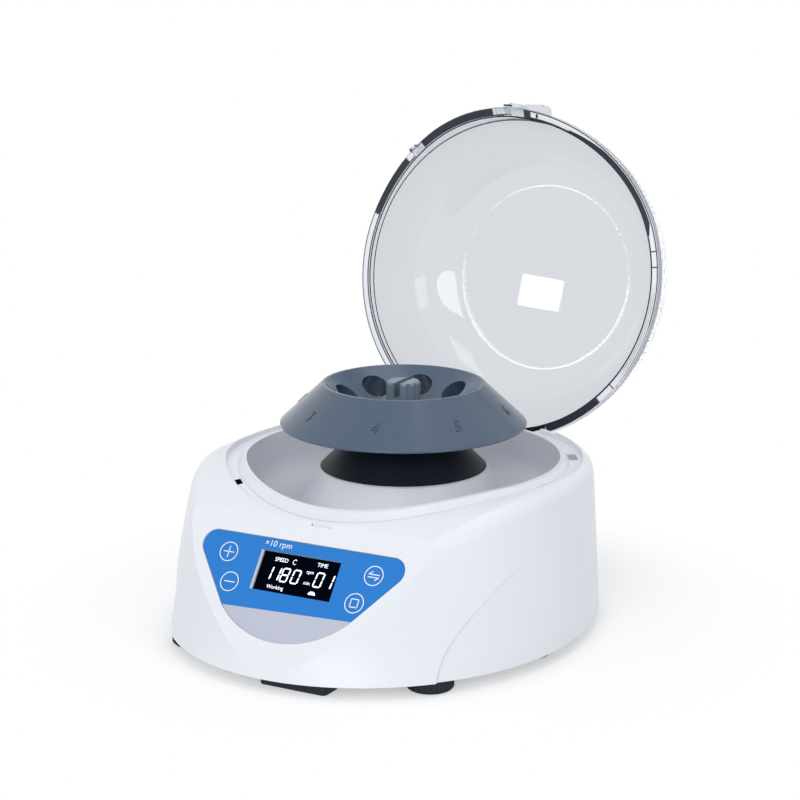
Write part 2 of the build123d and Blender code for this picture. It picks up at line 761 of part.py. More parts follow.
def lid_latch_tongue():
    """Dark latch: foot in the gasket's gap and a tongue with a hole for the lock."""
    low = latch_x - latch_half_width
    high = latch_x + latch_half_width
    foot = seal_ring() & box(low - 0.5, high + 1, -120, -80, 60, 120)
    front = latch_tongue_y - latch_tongue_thickness
    tip = latch_level - latch_tongue_length
    tongue = box(low + 0.4, high - 0.4, front, latch_tongue_y, tip, latch_level + 1)
    hole = Pos(latch_x, latch_tongue_y, bolt_height) * Rot(90, 0, 0) * Cylinder(bolt_radius + 0.4, 10)
    return opened(foot + tongue - hole)


def lid_switch_hook():
    """Small hook that presses the interlock switch through its slot."""
    place = around(hook_radius, -hook_angle, 0)
    foot = seal_ring() & (around(hook_radius, -hook_angle, 90) * Box(30, hook_width + 3, 60))
    level = arch_height(-hook_radius * cos(radians(hook_angle)), ledge_drop)
    leg = Pos(0, 0, level + 1 - (hook_length + 1) / 2) * Box(hook_thickness, hook_width, hook_length + 1)
    window = Pos(0, 0, level - hook_length / 2) * Box(10, hook_width - 2.2, hook_length - 2.6)
    return opened(foot + place * (leg - window))


def lid_hinge_leaf():
    """Leaf that carries the lid: knuckle on the rod, neck and pad under the flange."""
    flange_bottom = rim_z - lid_bottom_drop
    knuckle = Pos(0, hinge_y, hinge_z) * Rot(0, 90, 0) * Cylinder(knuckle_radius, 2 * knuckle_half_width)
    neck = box(
        -neck_half_width, neck_half_width, hinge_y - leaf_front, hinge_y + 2.1, hinge_z, flange_bottom,
    )
    pad = box(
        -leaf_half_width, leaf_half_width, hinge_y - pad_front, hinge_y + 1.1,
        flange_bottom - leaf_pad, flange_bottom,
    )
    pad &= cylinder(ledge_radius, 60, 120) - cylinder(flange_radius + fit_gap, 60, 120)
    bore = Pos(0, hinge_y, hinge_z) * Rot(0, 90, 0) * Cylinder(rod_radius + slip_gap, 100)
    leaf = knuckle + neck + pad - bore
    for x in (-leaf_screw_x, leaf_screw_x):
        leaf -= cylinder(1.3, 80, 110, x, leaf_screw_y)
    return opened(leaf)


def hinge_leaf_screws():
    """Screws from the leaf's pad into the flange."""
    flange_bottom = rim_z - lid_bottom_drop
    screws = []
    for x in (-leaf_screw_x, leaf_screw_x):
        under_pad = flange_bottom - leaf_pad
        head = cylinder(leaf_screw_head, under_pad - 1.5, under_pad, x, leaf_screw_y)
        screws.append(opened(head + cylinder(1.25, flange_bottom - 3, flange_bottom, x, leaf_screw_y)))
    return Compound(children=screws)


def hinge_bracket():
    """Foot and two ears in the bay that hold the rod."""
    outer_x = ear_inner_x + ear_width
    foot = box(-outer_x, outer_x, hinge_y - 5.1, hinge_y + 5.4, bay_floor_z, bay_floor_z + bracket_foot)
    bracket = foot
    for side in (-1, 1):
        x0, x1 = sorted((side * ear_inner_x, side * outer_x))
        ear = box(x0, x1, hinge_y - 3.8, hinge_y + 5, bay_floor_z, hinge_z)
        top = Pos((x0 + x1) / 2, hinge_y, hinge_z) * Rot(0, 90, 0) * Cylinder(5.0, ear_width)
        bracket += ear + top
    bracket -= Pos(0, hinge_y, hinge_z) * Rot(0, 90, 0) * Cylinder(rod_radius + 0.02, 100)
    for x in (-ear_screw_x, ear_screw_x):
        bracket -= cylinder(1.6, 70, 80, x, hinge_y + 1)
    return bracket


def bracket_screws():
    """Screws from the bracket's foot into the bay floor."""
    screws = []
    for x in (-ear_screw_x, ear_screw_x):
        head_low = bay_floor_z + bracket_foot
        head = cylinder(2.7, head_low, head_low + 1.6, x, hinge_y + 1)
        screws.append(head + cylinder(1.5, bay_floor_z, bay_floor_z + 3, x, hinge_y + 1))
    return Compound(children=screws)


def hinge_rod():
    """Steel rod through ears and knuckle."""
    half = ear_inner_x + ear_width + 2.4
    return Pos(0, hinge_y, hinge_z) * Rot(0, 90, 0) * Cylinder(rod_radius, 2 * half)


def rod_clips():
    """Retaining clips on the ends of the rod."""
    clips = []
    for side in (-1, 1):
        x = side * (ear_inner_x + ear_width + 0.7)
        disc = Pos(x, hinge_y, hinge_z) * Rot(0, 90, 0) * Cylinder(4.4, 0.8)
        clips.append(disc - Pos(x, hinge_y, hinge_z) * Rot(0, 90, 0) * Cylinder(rod_radius + 0.02, 2))
    return Compound(children=clips)


def panel_overlay():
    """Front film with its display window and button holes."""
    film = on_panel(0, 0, -overlay_thickness) * extrude(panel_outline(0), overlay_thickness)
    film -= front_block(bezel_outer[0] + 0.1, bezel_outer[1] + 0.1, -3, 3, 0, display_drop)
    for x, v in button_places.values():
        film -= front_post(button_radius + 0.12, -3, 3, x, v)
    return film


def display_bezel():
    """Silver frame set into the front wall round the display."""
    depth = bezel_depth + 0.8
    frame = front_block(bezel_outer[0], bezel_outer[1], -depth, 0, 0, display_drop)
    return frame - front_block(display_width, display_height, -10, 10, 0, display_drop)


def display_window():
    """Clear window inside the frame."""
    low = -bezel_depth - 0.6
    width, height = display_width - 0.1, display_height - 0.1
    return front_block(width, height, low, low + window_thickness, 0, display_drop)


def display_module():
    """Display behind the window, standing on the control board."""
    body = front_block(54, 27, -board_setback, inner_skin - 0.3, 0, display_drop)
    glass_top = -bezel_depth - 0.6
    return body + front_block(48, 22, inner_skin - 1, glass_top - 0.1, 0, display_drop)


def button(name):
    """One round key with its stem."""
    x, v = button_places[name]
    cap = front_post(button_radius, 0.1 - button_thickness, 0.1, x, v)
    return cap + front_post(button_stem_radius, button_stem_end, -0.5, x, v)


def tact_switches():
    """Push switches on the board behind the keys."""
    switches = []
    for x, v in button_places.values():
        body = front_block(6, 6, -board_setback, -board_setback + 3.5, x, v)
        switches.append(body + front_post(1.7, -board_setback + 3, -board_setback + switch_stroke_top, x, v))
    return Compound(children=switches)


def control_board():
    """Circuit board behind the front wall."""
    half = board_half_width
    outline = Polyline(
        (-half, board_top), (half, board_top), (half, 0), (half - 12, -20), (26, -27),
        (-26, -27), (-half + 12, -20), (-half, 0), close=True,
    )
    board = on_panel(0, 0, -board_setback - board_thickness) * extrude(make_face(outline), board_thickness)
    for x, v in standoff_places:
        board -= front_post(1.3, -board_setback - 3, -board_setback + 1, x, v)
    back = -board_setback - board_thickness
    chip = front_block(12, 12, back - 1.6, back, -8, -6)
    return board + chip


def board_screws():
    """Screws that hold the control board to its posts."""
    back = -board_setback - board_thickness
    screws = []
    for x, v in standoff_places:
        head = front_post(2.2, back - 1.5, back, x, v)
        screws.append(head + front_post(1.0, back - 0.5, -board_setback + 3, x, v))
    return Compound(children=screws)


def power_board():
    """Supply and motor drive board on the base."""
    top = power_board_z + board_thickness
    board = box(*power_board_x, *power_board_y, power_board_z, top)
    for x, y in power_posts:
        board -= cylinder(1.3, power_board_z - 1, top + 1, x, y)
    return board


def power_components():
    """Transformer, capacitors, choke and terminal block on the power board."""
    top = power_board_z + board_thickness
    parts = [
        box(-92, -66, -26, 0, top, top + 22),
        cylinder(8, top, top + 25, -90, 13),
        cylinder(6, top, top + 20, -72, 11),
        box(-96, -74, 21, 26, top, top + 16),
        box(-90, -70, -46, -34, top, top + 10),
    ]
    return Compound(children=parts)


def power_board_screws():
    """Screws into the board's posts."""
    top = power_board_z + board_thickness
    screws = []
    for x, y in power_posts:
        head = cylinder(2.4, top, top + 1.6, x, y)
        screws.append(head + cylinder(1.0, power_board_z - 4, top + 1, x, y))
    return Compound(children=screws)


def motor_can():
    """Motor housing with the upper bearing seat."""
    can = cylinder(motor_radius, motor_bottom_z + motor_cap, motor_top_z)
    can = fillet(can.edges().group_by(Axis.Z)[-1], 2.0)
    can -= cylinder(motor_radius - motor_wall, motor_bottom_z, motor_top_z - 4)
    can += cylinder(14, motor_top_z - 9, motor_top_z - 3)
    can -= cylinder(bearing_radius + 0.02, motor_top_z - 10, upper_bearing_z + bearing_height)
    return can - cylinder(5.5, motor_bottom_z, motor_top_z + 1)


def motor_end_cap():
    """Lower motor cover with the lower bearing seat."""
    cap = cylinder(motor_radius, motor_bottom_z, motor_bottom_z + motor_cap)
    cap += cylinder(14, motor_bottom_z + 2, lower_bearing_z + bearing_height)
    cap -= cylinder(bearing_radius + 0.02, lower_bearing_z, lower_bearing_z + bearing_height + 1)
    cap -= cylinder(5.5, motor_bottom_z - 1, motor_top_z)
    for x, y in motor_screw_places:
        cap -= cylinder(1.6, motor_bottom_z - 1, motor_bottom_z + 4, x, y)
    return cap


def bearing(bottom):
    """Ball bearing drawn as one ring with a groove in its faces."""
    body = cylinder(bearing_radius, bottom, bottom + bearing_height)
    body -= cylinder(shaft_radius + slip_gap, bottom - 1, bottom + bearing_height + 1)
    groove = cylinder(8.6, bottom + bearing_height - 0.5, bottom + bearing_height + 1)
    groove -= cylinder(6.4, bottom, bottom + bearing_height + 2)
    return body - groove


def motor_stator():
    """Stator ring inside the can, with winding slots."""
    low = lower_bearing_z + bearing_height + 2
    high = upper_bearing_z - 2
    ring_body = cylinder(motor_radius - motor_wall - 0.05, low, high) - cylinder(16.5, low - 1, high + 1)
    for n in range(12):
        a = radians(30 * n)
        ring_body -= cylinder(2.4, low - 1, high + 1, 21.5 * cos(a), 21.5 * sin(a))
    return ring_body


def magnet_rotor():
    """Magnet drum on the motor shaft."""
    low = lower_bearing_z + bearing_height + 2.5
    high = upper_bearing_z - 2.5
    return cylinder(15.9, low, high) - cylinder(shaft_radius, low - 1, high + 1)


def motor_shaft():
    """Steel shaft of the motor."""
    return cylinder(shaft_radius, shaft_bottom_z, shaft_top_z)


def motor_plate():
    """Steel plate between motor and rubber mounts."""
    plate = cylinder(motor_plate_radius, motor_bottom_z - plate_thickness, motor_bottom_z)
    plate -= cylinder(8, 30, 60)
    for x, y in mount_places:
        plate -= cylinder(2.2, 30, 60, x, y)
    for x, y in motor_screw_places:
        plate -= cylinder(1.6, 30, 60, x, y)
    return plate


def motor_screws():
    """Screws from under the plate into the motor's cover."""
    screws = []
    plate_bottom = motor_bottom_z - plate_thickness
    for x, y in motor_screw_places:
        head = cylinder(2.8, plate_bottom - 2, plate_bottom, x, y)
        screws.append(head + cylinder(1.5, plate_bottom - 1, motor_bottom_z + 2.8, x, y))
    return Compound(children=screws)


def vibration_mounts():
    """Waisted rubber mounts between base pillars and motor plate."""
    top = mount_bottom_z + mount_height
    middle = mount_bottom_z + mount_height / 2
    mounts = []
    for x, y in mount_places:
        low_edge = (mount_radius, mount_bottom_z)
        high_edge = (mount_radius, top)
        side = ThreePointArc(low_edge, (mount_radius - 1.8, middle), high_edge)
        rest = Polyline(high_edge, (2.1, top), (2.1, mount_bottom_z), low_edge)
        mounts.append(Pos(x, y, 0) * revolve(Plane.XZ * make_face(Curve() + [side, rest]), Axis.Z))
    return Compound(children=mounts)


def mount_bolts():
    """Bolts through the plate and the mounts into the pillars."""
    bolts = []
    for x, y in mount_places:
        head = Pos(x, y, motor_bottom_z) * extrude(RegularPolygon(3.9, 6), 2.8)
        bolts.append(head + cylinder(mount_bolt_radius, mount_bottom_z - 8, motor_bottom_z + 1, x, y))
    return Compound(children=bolts)


def lid_lock_solenoid():
    """Lock solenoid under the roof, behind the latch slot."""
    depth = 6.4
    block = box(latch_x - 12, latch_x + 12, solenoid_face_y, solenoid_face_y + depth, 56, rim_z)
    block &= below_arch(roof_drop + fit_gap)
    return block - bolt_cylinder(bolt_radius, solenoid_face_y - 1, solenoid_face_y + 5.2)


def bolt_cylinder(radius, y0, y1):
    """Cylinder on the lock bolt's axis."""
    return Pos(latch_x, (y0 + y1) / 2, bolt_height) * Rot(90, 0, 0) * Cylinder(radius, y1 - y0)


def lock_bolt():
    """Lock bolt, drawn back while the lid is open."""
    return bolt_cylinder(bolt_radius - slip_gap, solenoid_face_y - 0.2, solenoid_face_y + 5.0)


def lid_microswitch():
    """Interlock switch under the hook slot."""
    roof = arch_height(-hook_radius * cos(radians(hook_angle)), roof_drop) - fit_gap
    height = 12.0
    place = around(hook_radius - 0.6, -hook_angle, roof - height / 2)
    switch = (place * Box(6.4, 20, height)) & below_arch(roof_drop + fit_gap)
    return switch - around(hook_radius - 0.6, -hook_angle, roof) * Box(8, hook_width + 2, 5.4)


def ledge_pad():
    """Grey-blue pad in the right rear of the ledge."""
    thickness = pad_depth - pad_sink
    middle = rim_z - ledge_drop - pad_sink - thickness / 2
    return around(pad_radius, pad_angle, middle) * Box(pad_width, pad_length, thickness)


def rear_flange(x, width, height):
    """Thin flange of a fitting, lying on the recess face."""
    half_width = width / 2 + flange_lip
    half_height = height / 2 + flange_lip
    return box(
        x - half_width, x + half_width, inlet_face_y, inlet_face_y + flange_lip_depth,
        inlet_z - half_height, inlet_z + half_height,
    )


def power_inlet():
    """Mains inlet set into the back."""
    flange = rear_flange(inlet_x, inlet_width, inlet_height)
    body = box(
        inlet_x - inlet_width / 2, inlet_x + inlet_width / 2, inlet_face_y - inlet_depth, inlet_face_y + 1,
        inlet_z - inlet_height / 2, inlet_z + inlet_height / 2,
    )
    socket = box(
        inlet_x - 12, inlet_x + 12, inlet_face_y - inlet_depth + 4, inlet_face_y + 3,
        inlet_z - 8, inlet_z + 8,
    )
    lower = socket.edges().filter_by(Axis.Y).group_by(Axis.Z)[0]
    return flange + body - chamfer(lower, 4.0)


def inlet_pins():
    """Three flat contacts in the inlet."""
    pins = []
    back = inlet_face_y - inlet_depth + 4
    for offset in (-7.0, 0.0, 7.0):
        pins.append(box(
            inlet_x + offset - 1, inlet_x + offset + 1, back, inlet_face_y - 2,
            inlet_z - 4.4, inlet_z - 0.4,
        ))
    return Compound(children=pins)


def power_switch_frame():
    """Frame of the power switch."""
    half = rocker_width / 2 + frame_wall
    frame = box(
        rocker_x - half, rocker_x + half, inlet_face_y - frame_depth, inlet_face_y + 1,
        inlet_z - rocker_height / 2, inlet_z + rocker_height / 2,
    )
    frame += rear_flange(rocker_x, 2 * half, rocker_height)
    frame -= box(
        rocker_x - rocker_width / 2, rocker_x + rocker_width / 2,
        inlet_face_y + 3 - frame_depth, inlet_face_y + 3,
        inlet_z - rocker_reach - fit_gap, inlet_z + rocker_reach + fit_gap,
    )
    return frame - rocker_rod(rocker_pin_radius + slip_gap, rocker_width + 2)


def rocker_rod(radius, length):
    """Rod along the rocker's pivot."""
    return Pos(rocker_x, rocker_pivot_y, inlet_z) * Rot(0, 90, 0) * Cylinder(radius, length)


def power_rocker():
    """Rocker of the power switch, at rest in its on position."""
    body = rocker_rod(rocker_reach, rocker_width - 0.6)
    keep = box(
        rocker_x - 20, rocker_x + 20, rocker_pivot_y - 4.5, rocker_pivot_y + 5.2,
        inlet_z - 20, inlet_z + 20,
    )
    rocker = body & keep
    dip = 30.0
    rocker -= Pos(rocker_x, rocker_pivot_y + 4.4 + dip, inlet_z) * Rot(0, 90, 0) * Cylinder(dip, 40)
    rocker += rocker_rod(rocker_pin_radius, rocker_width + 1.6)
    return rocker.rotate(Axis((0, rocker_pivot_y, inlet_z), (1, 0, 0)), rocker_tilt)


parts = {
    "upper_housing": upper_housing, "base_plate": base_plate, "base_screws": base_screws,
    "round_feet": round_feet, "front_foot": front_foot, "chamber_bowl": chamber_bowl,
    "motor_boot": motor_boot, "rotor": rotor, "rotor_adapter": rotor_adapter,
    "rotor_lock_knob": rotor_lock_knob, "lid_dome": lid_dome, "lid_seal": lid_seal,
    "lid_latch_block": lid_latch_block, "lid_latch_tongue": lid_latch_tongue,
    "lid_switch_hook": lid_switch_hook, "lid_hinge_leaf": lid_hinge_leaf,
    "hinge_leaf_screws": hinge_leaf_screws, "hinge_bracket": hinge_bracket,
    "bracket_screws": bracket_screws, "hinge_rod": hinge_rod, "rod_clips": rod_clips,
    "panel_overlay": panel_overlay, "display_bezel": display_bezel, "display_window": display_window,
    "display_module": display_module, "tact_switches": tact_switches, "control_board": control_board,
    "board_screws": board_screws, "power_board": power_board, "power_components": power_components,
    "power_board_screws": power_board_screws, "motor_can": motor_can, "motor_end_cap": motor_end_cap,
    "upper_bearing": lambda: bearing(upper_bearing_z), "lower_bearing": lambda: bearing(lower_bearing_z),
    "motor_stator": motor_stator, "magnet_rotor": magnet_rotor, "motor_shaft": motor_shaft,
    "motor_plate": motor_plate, "motor_screws": motor_screws, "vibration_mounts": vibration_mounts,
    "mount_bolts": mount_bolts, "lid_lock_solenoid": lid_lock_solenoid, "lock_bolt": lock_bolt,
    "lid_microswitch": lid_microswitch, "ledge_pad": ledge_pad, "power_inlet": power_inlet,
    "inlet_pins": inlet_pins, "power_switch_frame": power_switch_frame, "power_rocker": power_rocker,
}
for key in button_places:
    parts[key] = lambda key=key: button(key)

os.makedirs("parts", exist_ok=True)
for name, make in parts.items():
    export_step(make(), f"parts/{name}.step")
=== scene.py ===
import bpy
import bmesh
from math import cos, pi, radians, sin
from mathutils import Matrix, Vector


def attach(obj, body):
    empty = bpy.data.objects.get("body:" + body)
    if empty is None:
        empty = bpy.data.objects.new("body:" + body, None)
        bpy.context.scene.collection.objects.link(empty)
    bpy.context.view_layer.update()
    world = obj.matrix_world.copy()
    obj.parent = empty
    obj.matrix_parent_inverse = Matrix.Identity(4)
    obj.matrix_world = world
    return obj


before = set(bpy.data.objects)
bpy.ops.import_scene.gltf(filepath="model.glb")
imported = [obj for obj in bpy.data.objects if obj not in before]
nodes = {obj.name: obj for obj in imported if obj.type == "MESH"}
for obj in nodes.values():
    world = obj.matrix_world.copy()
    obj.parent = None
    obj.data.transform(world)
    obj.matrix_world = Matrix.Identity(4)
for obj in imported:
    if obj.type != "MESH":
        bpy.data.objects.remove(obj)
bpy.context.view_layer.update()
scene = bpy.context.scene

MM = 0.001
ORIGIN = Vector((0.0, 0.0, 0.0))
ACROSS = Vector((1.0, 0.0, 0.0))
WHITE = (1.0, 1.0, 1.0, 1.0)

# The sloped panel: a point of its face, and the ways up it and out of it
PANEL_TILT = radians(36.5)
PANEL_POINT = Vector((0.0, -119.9, 57.0))
PANEL_UP = Vector((0.0, sin(PANEL_TILT), cos(PANEL_TILT)))
PANEL_OUT = Vector((0.0, -cos(PANEL_TILT), sin(PANEL_TILT)))

# The lid's hinge line, and how far the lid stands open
HINGE = Vector((0.0, 102.31, 82.8))
LID_OPEN = radians(101.3)
LID_BACK = Vector((0.0, cos(LID_OPEN), -sin(LID_OPEN)))
LID_UP = Vector((0.0, sin(LID_OPEN), cos(LID_OPEN)))

# The rotor's outer cone, from its lower edge to its upper edge, as (radius, height)
CONE_LOW = Vector((72.0, 115.9))
CONE_HIGH = Vector((47.2, 139.2))


# Shapes
def added(name, data):
    """New object in the scene."""
    thing = bpy.data.objects.new(name, data)
    scene.collection.objects.link(thing)
    return thing


def piece(name, form, body, material):
    """Object from a bmesh in millimetres, riding on a body."""
    bmesh.ops.recalc_face_normals(form, faces=form.faces)
    bmesh.ops.scale(form, vec=(MM, MM, MM), verts=form.verts)
    mesh = bpy.data.meshes.new(name)
    form.to_mesh(mesh)
    form.free()
    thing = added(name, mesh)
    mesh.materials.append(material)
    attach(thing, body)


def on_panel(x, v, out):
    """Point of the sloped panel, across, up the slope and out of it."""
    return PANEL_POINT + ACROSS * x + PANEL_UP * v + PANEL_OUT * out


def on_cone(turn, along, out):
    """Point of the rotor's outer cone, at a turn from the front, up from its lower edge."""
    way = (CONE_HIGH - CONE_LOW).normalized()
    spot = CONE_LOW + way * along + Vector((way.y, -way.x)) * out
    return Vector((spot.x * sin(turn), -spot.x * cos(turn), spot.y))


def face_out(name):
    """How far a node's face lies out of the panel's reference plane, in millimetres."""
    return max((v.co / MM - PANEL_POINT).dot(PANEL_OUT) for v in nodes[name].data.vertices)


def prism(form, outline, low, high, place):
    """Closed flat-sided block over an outline, between two heights."""
    bottom = [form.verts.new(place(x, y, low)) for x, y in outline]
    top = [form.verts.new(place(x, y, high)) for x, y in outline]
    form.faces.new(list(reversed(bottom)))
    form.faces.new(top)
    count = len(outline)
    for i in range(count):
        j = (i + 1) % count
        form.faces.new((bottom[i], bottom[j], top[j], top[i]))


def band(form, centre, inner, outer, low, high, place):
    """Flat ring between two radii and two heights."""
    steps = 72
    rows = []
    for radius, height in ((inner, low), (outer, low), (outer, high), (inner, high)):
        row = []
        for i in range(steps):
            a = 2 * pi * i / steps
            spot = (centre[0] + radius * cos(a), centre[1] + radius * sin(a))
            row.append(form.verts.new(place(*spot, height)))
        rows.append(row)
    for k in range(4):
        here, there = rows[k], rows[(k + 1) % 4]
        for i in range(steps):
            j = (i + 1) % steps
            form.faces.new((here[i], here[j], there[j], there[i]))


def stroke(form, a, b, width, low, high, place):
    """Straight printed line from a to b with square ends."""
    a, b = Vector(a), Vector(b)
    way = (b - a).normalized() * width / 2
    side = Vector((-way.y, way.x))
    corners = [a - way - side, b + way - side, b + way + side, a - way + side]
    prism(form, [tuple(c) for c in corners], low, high, place)


def grown_mesh(thing):
    """Mesh of an object as its modifiers or letters leave it. The object is removed."""
    bpy.context.view_layer.update()
    seen = thing.evaluated_get(bpy.context.evaluated_depsgraph_get())
    mesh = bpy.data.meshes.new_from_object(seen)
    bpy.data.objects.remove(thing)
    return mesh


def text_form(words, size, thickness, bevel=0.0, shear=0.0, spacing=1.0):
    """Mesh of a short text, centred on the origin, lying flat."""
    curve = bpy.data.curves.new("letters", "FONT")
    curve.body = words
    curve.size = size
    curve.extrude = thickness / 2
    curve.bevel_depth = bevel
    curve.bevel_resolution = 1
    curve.resolution_u = 4
    curve.shear = shear
    curve.space_character = spacing
    curve.align_x = "CENTER"
    curve.align_y = "CENTER"
    mesh = grown_mesh(added("letters", curve))
    form = bmesh.new()
    form.from_mesh(mesh)
    bmesh.ops.remove_doubles(form, verts=form.verts, dist=0.0005)
    bpy.data.curves.remove(curve)
    bpy.data.meshes.remove(mesh)
    return form


def add_text(form, words, size, thickness, place, middle, **look):
    """Adds a text to a form, each of its points carried to its place."""
    letters = text_form(words, size, thickness, **look)
    table = {}
    for v in letters.verts:
        x, y = middle[0] + v.co.x, middle[1] + v.co.y
        table[v.index] = form.verts.new(place(x, y, v.co.z + thickness / 2))
    for f in letters.faces:
        try:
            form.faces.new([table[v.index] for v in f.verts])
        except ValueError:
            pass    # the same face was made before
    letters.free()


# Shader nodes
def linear(colour):
    """Colour as the renderer wants it, from the usual 0 to 255 values."""
    parts = []
    for value in colour:
        v = value / 255
        parts.append(v / 12.92 if v <= 0.04045 else ((v + 0.055) / 1.055) ** 2.4)
    return (*parts, 1.0)


def feed(tree, socket, value):
    """Sets an input to a number, way or colour, or links it to another node's output."""
    if isinstance(value, (int, float, tuple, Vector)):
        socket.default_value = value
    else:
        tree.links.new(value, socket)


def fill(tree, node, inputs):
    """Sets or links inputs of a node by their labels."""
    for label, value in inputs.items():
        feed(tree, node.inputs[label.replace("_", " ")], value)
    return node


def made(tree, kind, **inputs):
    """New node with some of its inputs set."""
    return fill(tree, tree.nodes.new(kind), inputs)


def placed(tree, group, **inputs):
    """One use of a node group."""
    node = tree.nodes.new("ShaderNodeGroup")
    node.node_tree = group
    return fill(tree, node, inputs)


def maths(tree, operation, a, b=None, c=None, clamp=False):
    """Math node fed by sockets or numbers."""
    node = tree.nodes.new("ShaderNodeMath")
    node.operation = operation
    node.use_clamp = clamp
    for i, value in enumerate((a, b, c)):
        if value is not None:
            feed(tree, node.inputs[i], value)
    return node.outputs[0]


def product(tree, first, *others):
    """All the values multiplied."""
    for other in others:
        first = maths(tree, "MULTIPLY", first, other)
    return first


def strongest(tree, first, *others):
    """The highest of the values."""
    for other in others:
        first = maths(tree, "MAXIMUM", first, other)
    return first


def rises(tree, value, start_at, steep):
    """0 up to a limit, then growing to 1."""
    return maths(tree, "MULTIPLY", maths(tree, "SUBTRACT", value, start_at), steep, clamp=True)


def falls(tree, value, end_at, steep):
    """1, sinking to 0 at a limit."""
    return maths(tree, "MULTIPLY", maths(tree, "SUBTRACT", end_at, value), steep, clamp=True)


def between(tree, value, limits, steep):
    """1 between two limits and 0 outside them, with soft ends."""
    low, high = limits
    return product(tree, rises(tree, value, low, steep), falls(tree, value, high, steep))


def near(tree, value, middle, half):
    """1 within a distance of a middle, else 0, with sharp ends."""
    away = maths(tree, "ABSOLUTE", maths(tree, "SUBTRACT", value, middle))
    return maths(tree, "LESS_THAN", away, half)


def mixed(tree, factor, first, second):
    """Colour between two colours."""
    node = tree.nodes.new("ShaderNodeMix")
    node.data_type = "RGBA"
    for i, value in ((0, factor), (6, first), (7, second)):
        feed(tree, node.inputs[i], value)
    return node.outputs[2]


def mixed_shaders(tree, factor, first, second):
    """Shader between two shaders."""
    node = made(tree, "ShaderNodeMixShader", Fac=factor)
    tree.links.new(first.outputs[0], node.inputs[1])
    tree.links.new(second.outputs[0], node.inputs[2])
    return node


def object_place(tree):
    """Where a point of the piece lies, in the piece's own metres."""
    return tree.nodes.new("ShaderNodeTexCoord").outputs["Object"]


def noise(tree, place, scale, detail=2.0, rough=0.5):
    """Uneven pattern from 0 to 1."""
    node = made(tree, "ShaderNodeTexNoise", Vector=place, Scale=scale, Detail=detail,
                Roughness=rough)
    return node.outputs["Fac"]


def shaded(tree, colour, value):
    """Colour made lighter or darker."""
    return made(tree, "ShaderNodeHueSaturation", Color=colour, Value=value).outputs["Color"]


def dot_with(tree, vector, direction):
    """Share of a vector that points along a direction."""
    node = tree.nodes.new("ShaderNodeVectorMath")
    node.operation = "DOT_PRODUCT"
    feed(tree, node.inputs[0], vector)
    feed(tree, node.inputs[1], direction)
    return node.outputs["Value"]


def dot(tree, place, direction, origin):
    """How far along a direction a point lies from an origin, in millimetres."""
    base = direction.dot(origin) * MM
    along = maths(tree, "SUBTRACT", dot_with(tree, place, direction), base)
    return maths(tree, "DIVIDE", along, MM)


def facing(tree, direction):
    """How squarely a face looks along a direction, from -1 to 1."""
    normal = tree.nodes.new("ShaderNodeNewGeometry").outputs["True Normal"]
    return dot_with(tree, normal, direction)


def seen_directly(tree):
    """1 for camera, mirror and see-through rays, 0 for the light that falls on things."""
    path = tree.nodes.new("ShaderNodeLightPath").outputs
    return strongest(tree, path["Is Camera Ray"], path["Is Transmission Ray"],
                     path["Is Glossy Ray"])


# Camera, as fitted to the photograph
CAMERA_TURN = radians(28.916)    # from the front towards +X
CAMERA_LIFT = radians(13.512)    # above level
CAMERA_AWAY = 1.38743            # metres from the point it looks at
AIM_HEIGHT = 0.12838             # height of that point
AIM_LEFT = 0.001965              # how far left of the middle it lies in the picture
CAMERA_LENS = 107.18
CAMERA_SENSOR = 36.0


def make_camera():
    """Camera that takes the photograph's view."""
    turn, lift = CAMERA_TURN, CAMERA_LIFT
    back = Vector((sin(turn) * cos(lift), -cos(turn) * cos(lift), sin(lift)))
    right = Vector((cos(turn), sin(turn), 0.0))
    up = back.cross(right)
    aim = Vector((0.0, 0.0, AIM_HEIGHT)) - right * AIM_LEFT
    data = bpy.data.cameras.new("camera")
    data.sensor_width = CAMERA_SENSOR
    data.lens = CAMERA_LENS
    data.clip_start = 0.05
    data.clip_end = 50.0
    camera = added("camera", data)
    turned = Matrix((right, up, back)).transposed().to_4x4()
    camera.matrix_world = Matrix.Translation(aim + back * CAMERA_AWAY) @ turned
    scene.camera = camera


# World, lamps and floor
WORLD_TINT = (0.94, 0.965, 1.0, 1.0)
WORLD_STRENGTH = 0.7

# name, place, point it faces, width, height, power, shape. The small window is the little bright
# patch mirrored in the lid.
LAMPS = [
    ("front", (0.39, -1.86, 0.86), (0.0, 0.1, 0.12), 1.5, 0.52, 8.0, "ELLIPSE"),
    ("left", (-2.0, -0.4, 1.0), (0.0, 0.0, 0.05), 0.8, 0.8, 1.0, "RECTANGLE"),
    ("right", (2.1, -0.7, 1.0), (0.0, 0.0, 0.05), 0.8, 0.8, 4.0, "RECTANGLE"),
    ("high", (0.25, -1.1, 1.7), (0.0, 0.0, 0.06), 0.7, 0.7, 3.2, "RECTANGLE"),
    ("top", (0.1, 0.4, 1.9), (0.0, 0.0, 0.0), 1.0, 1.0, 3.6, "RECTANGLE"),
    ("small window", (-0.931, -1.774, 0.525), (0.0, 0.186, 0.16), 0.066, 0.05, 0.085, "RECTANGLE"),
]

FLOOR_HALF = 6.0
PAPER = (0.8, 0.8, 0.8, 1.0)         # as it throws light back
PAPER_SEEN = (0.6, 0.6, 0.6, 1.0)    # as the camera sees it, with the glow added
PAPER_GLOW = 0.42
FADE_FROM = 0.14                     # metres from the middle where the shadow starts to fade
FADE_TO = 0.24                       # and where the floor is plain white


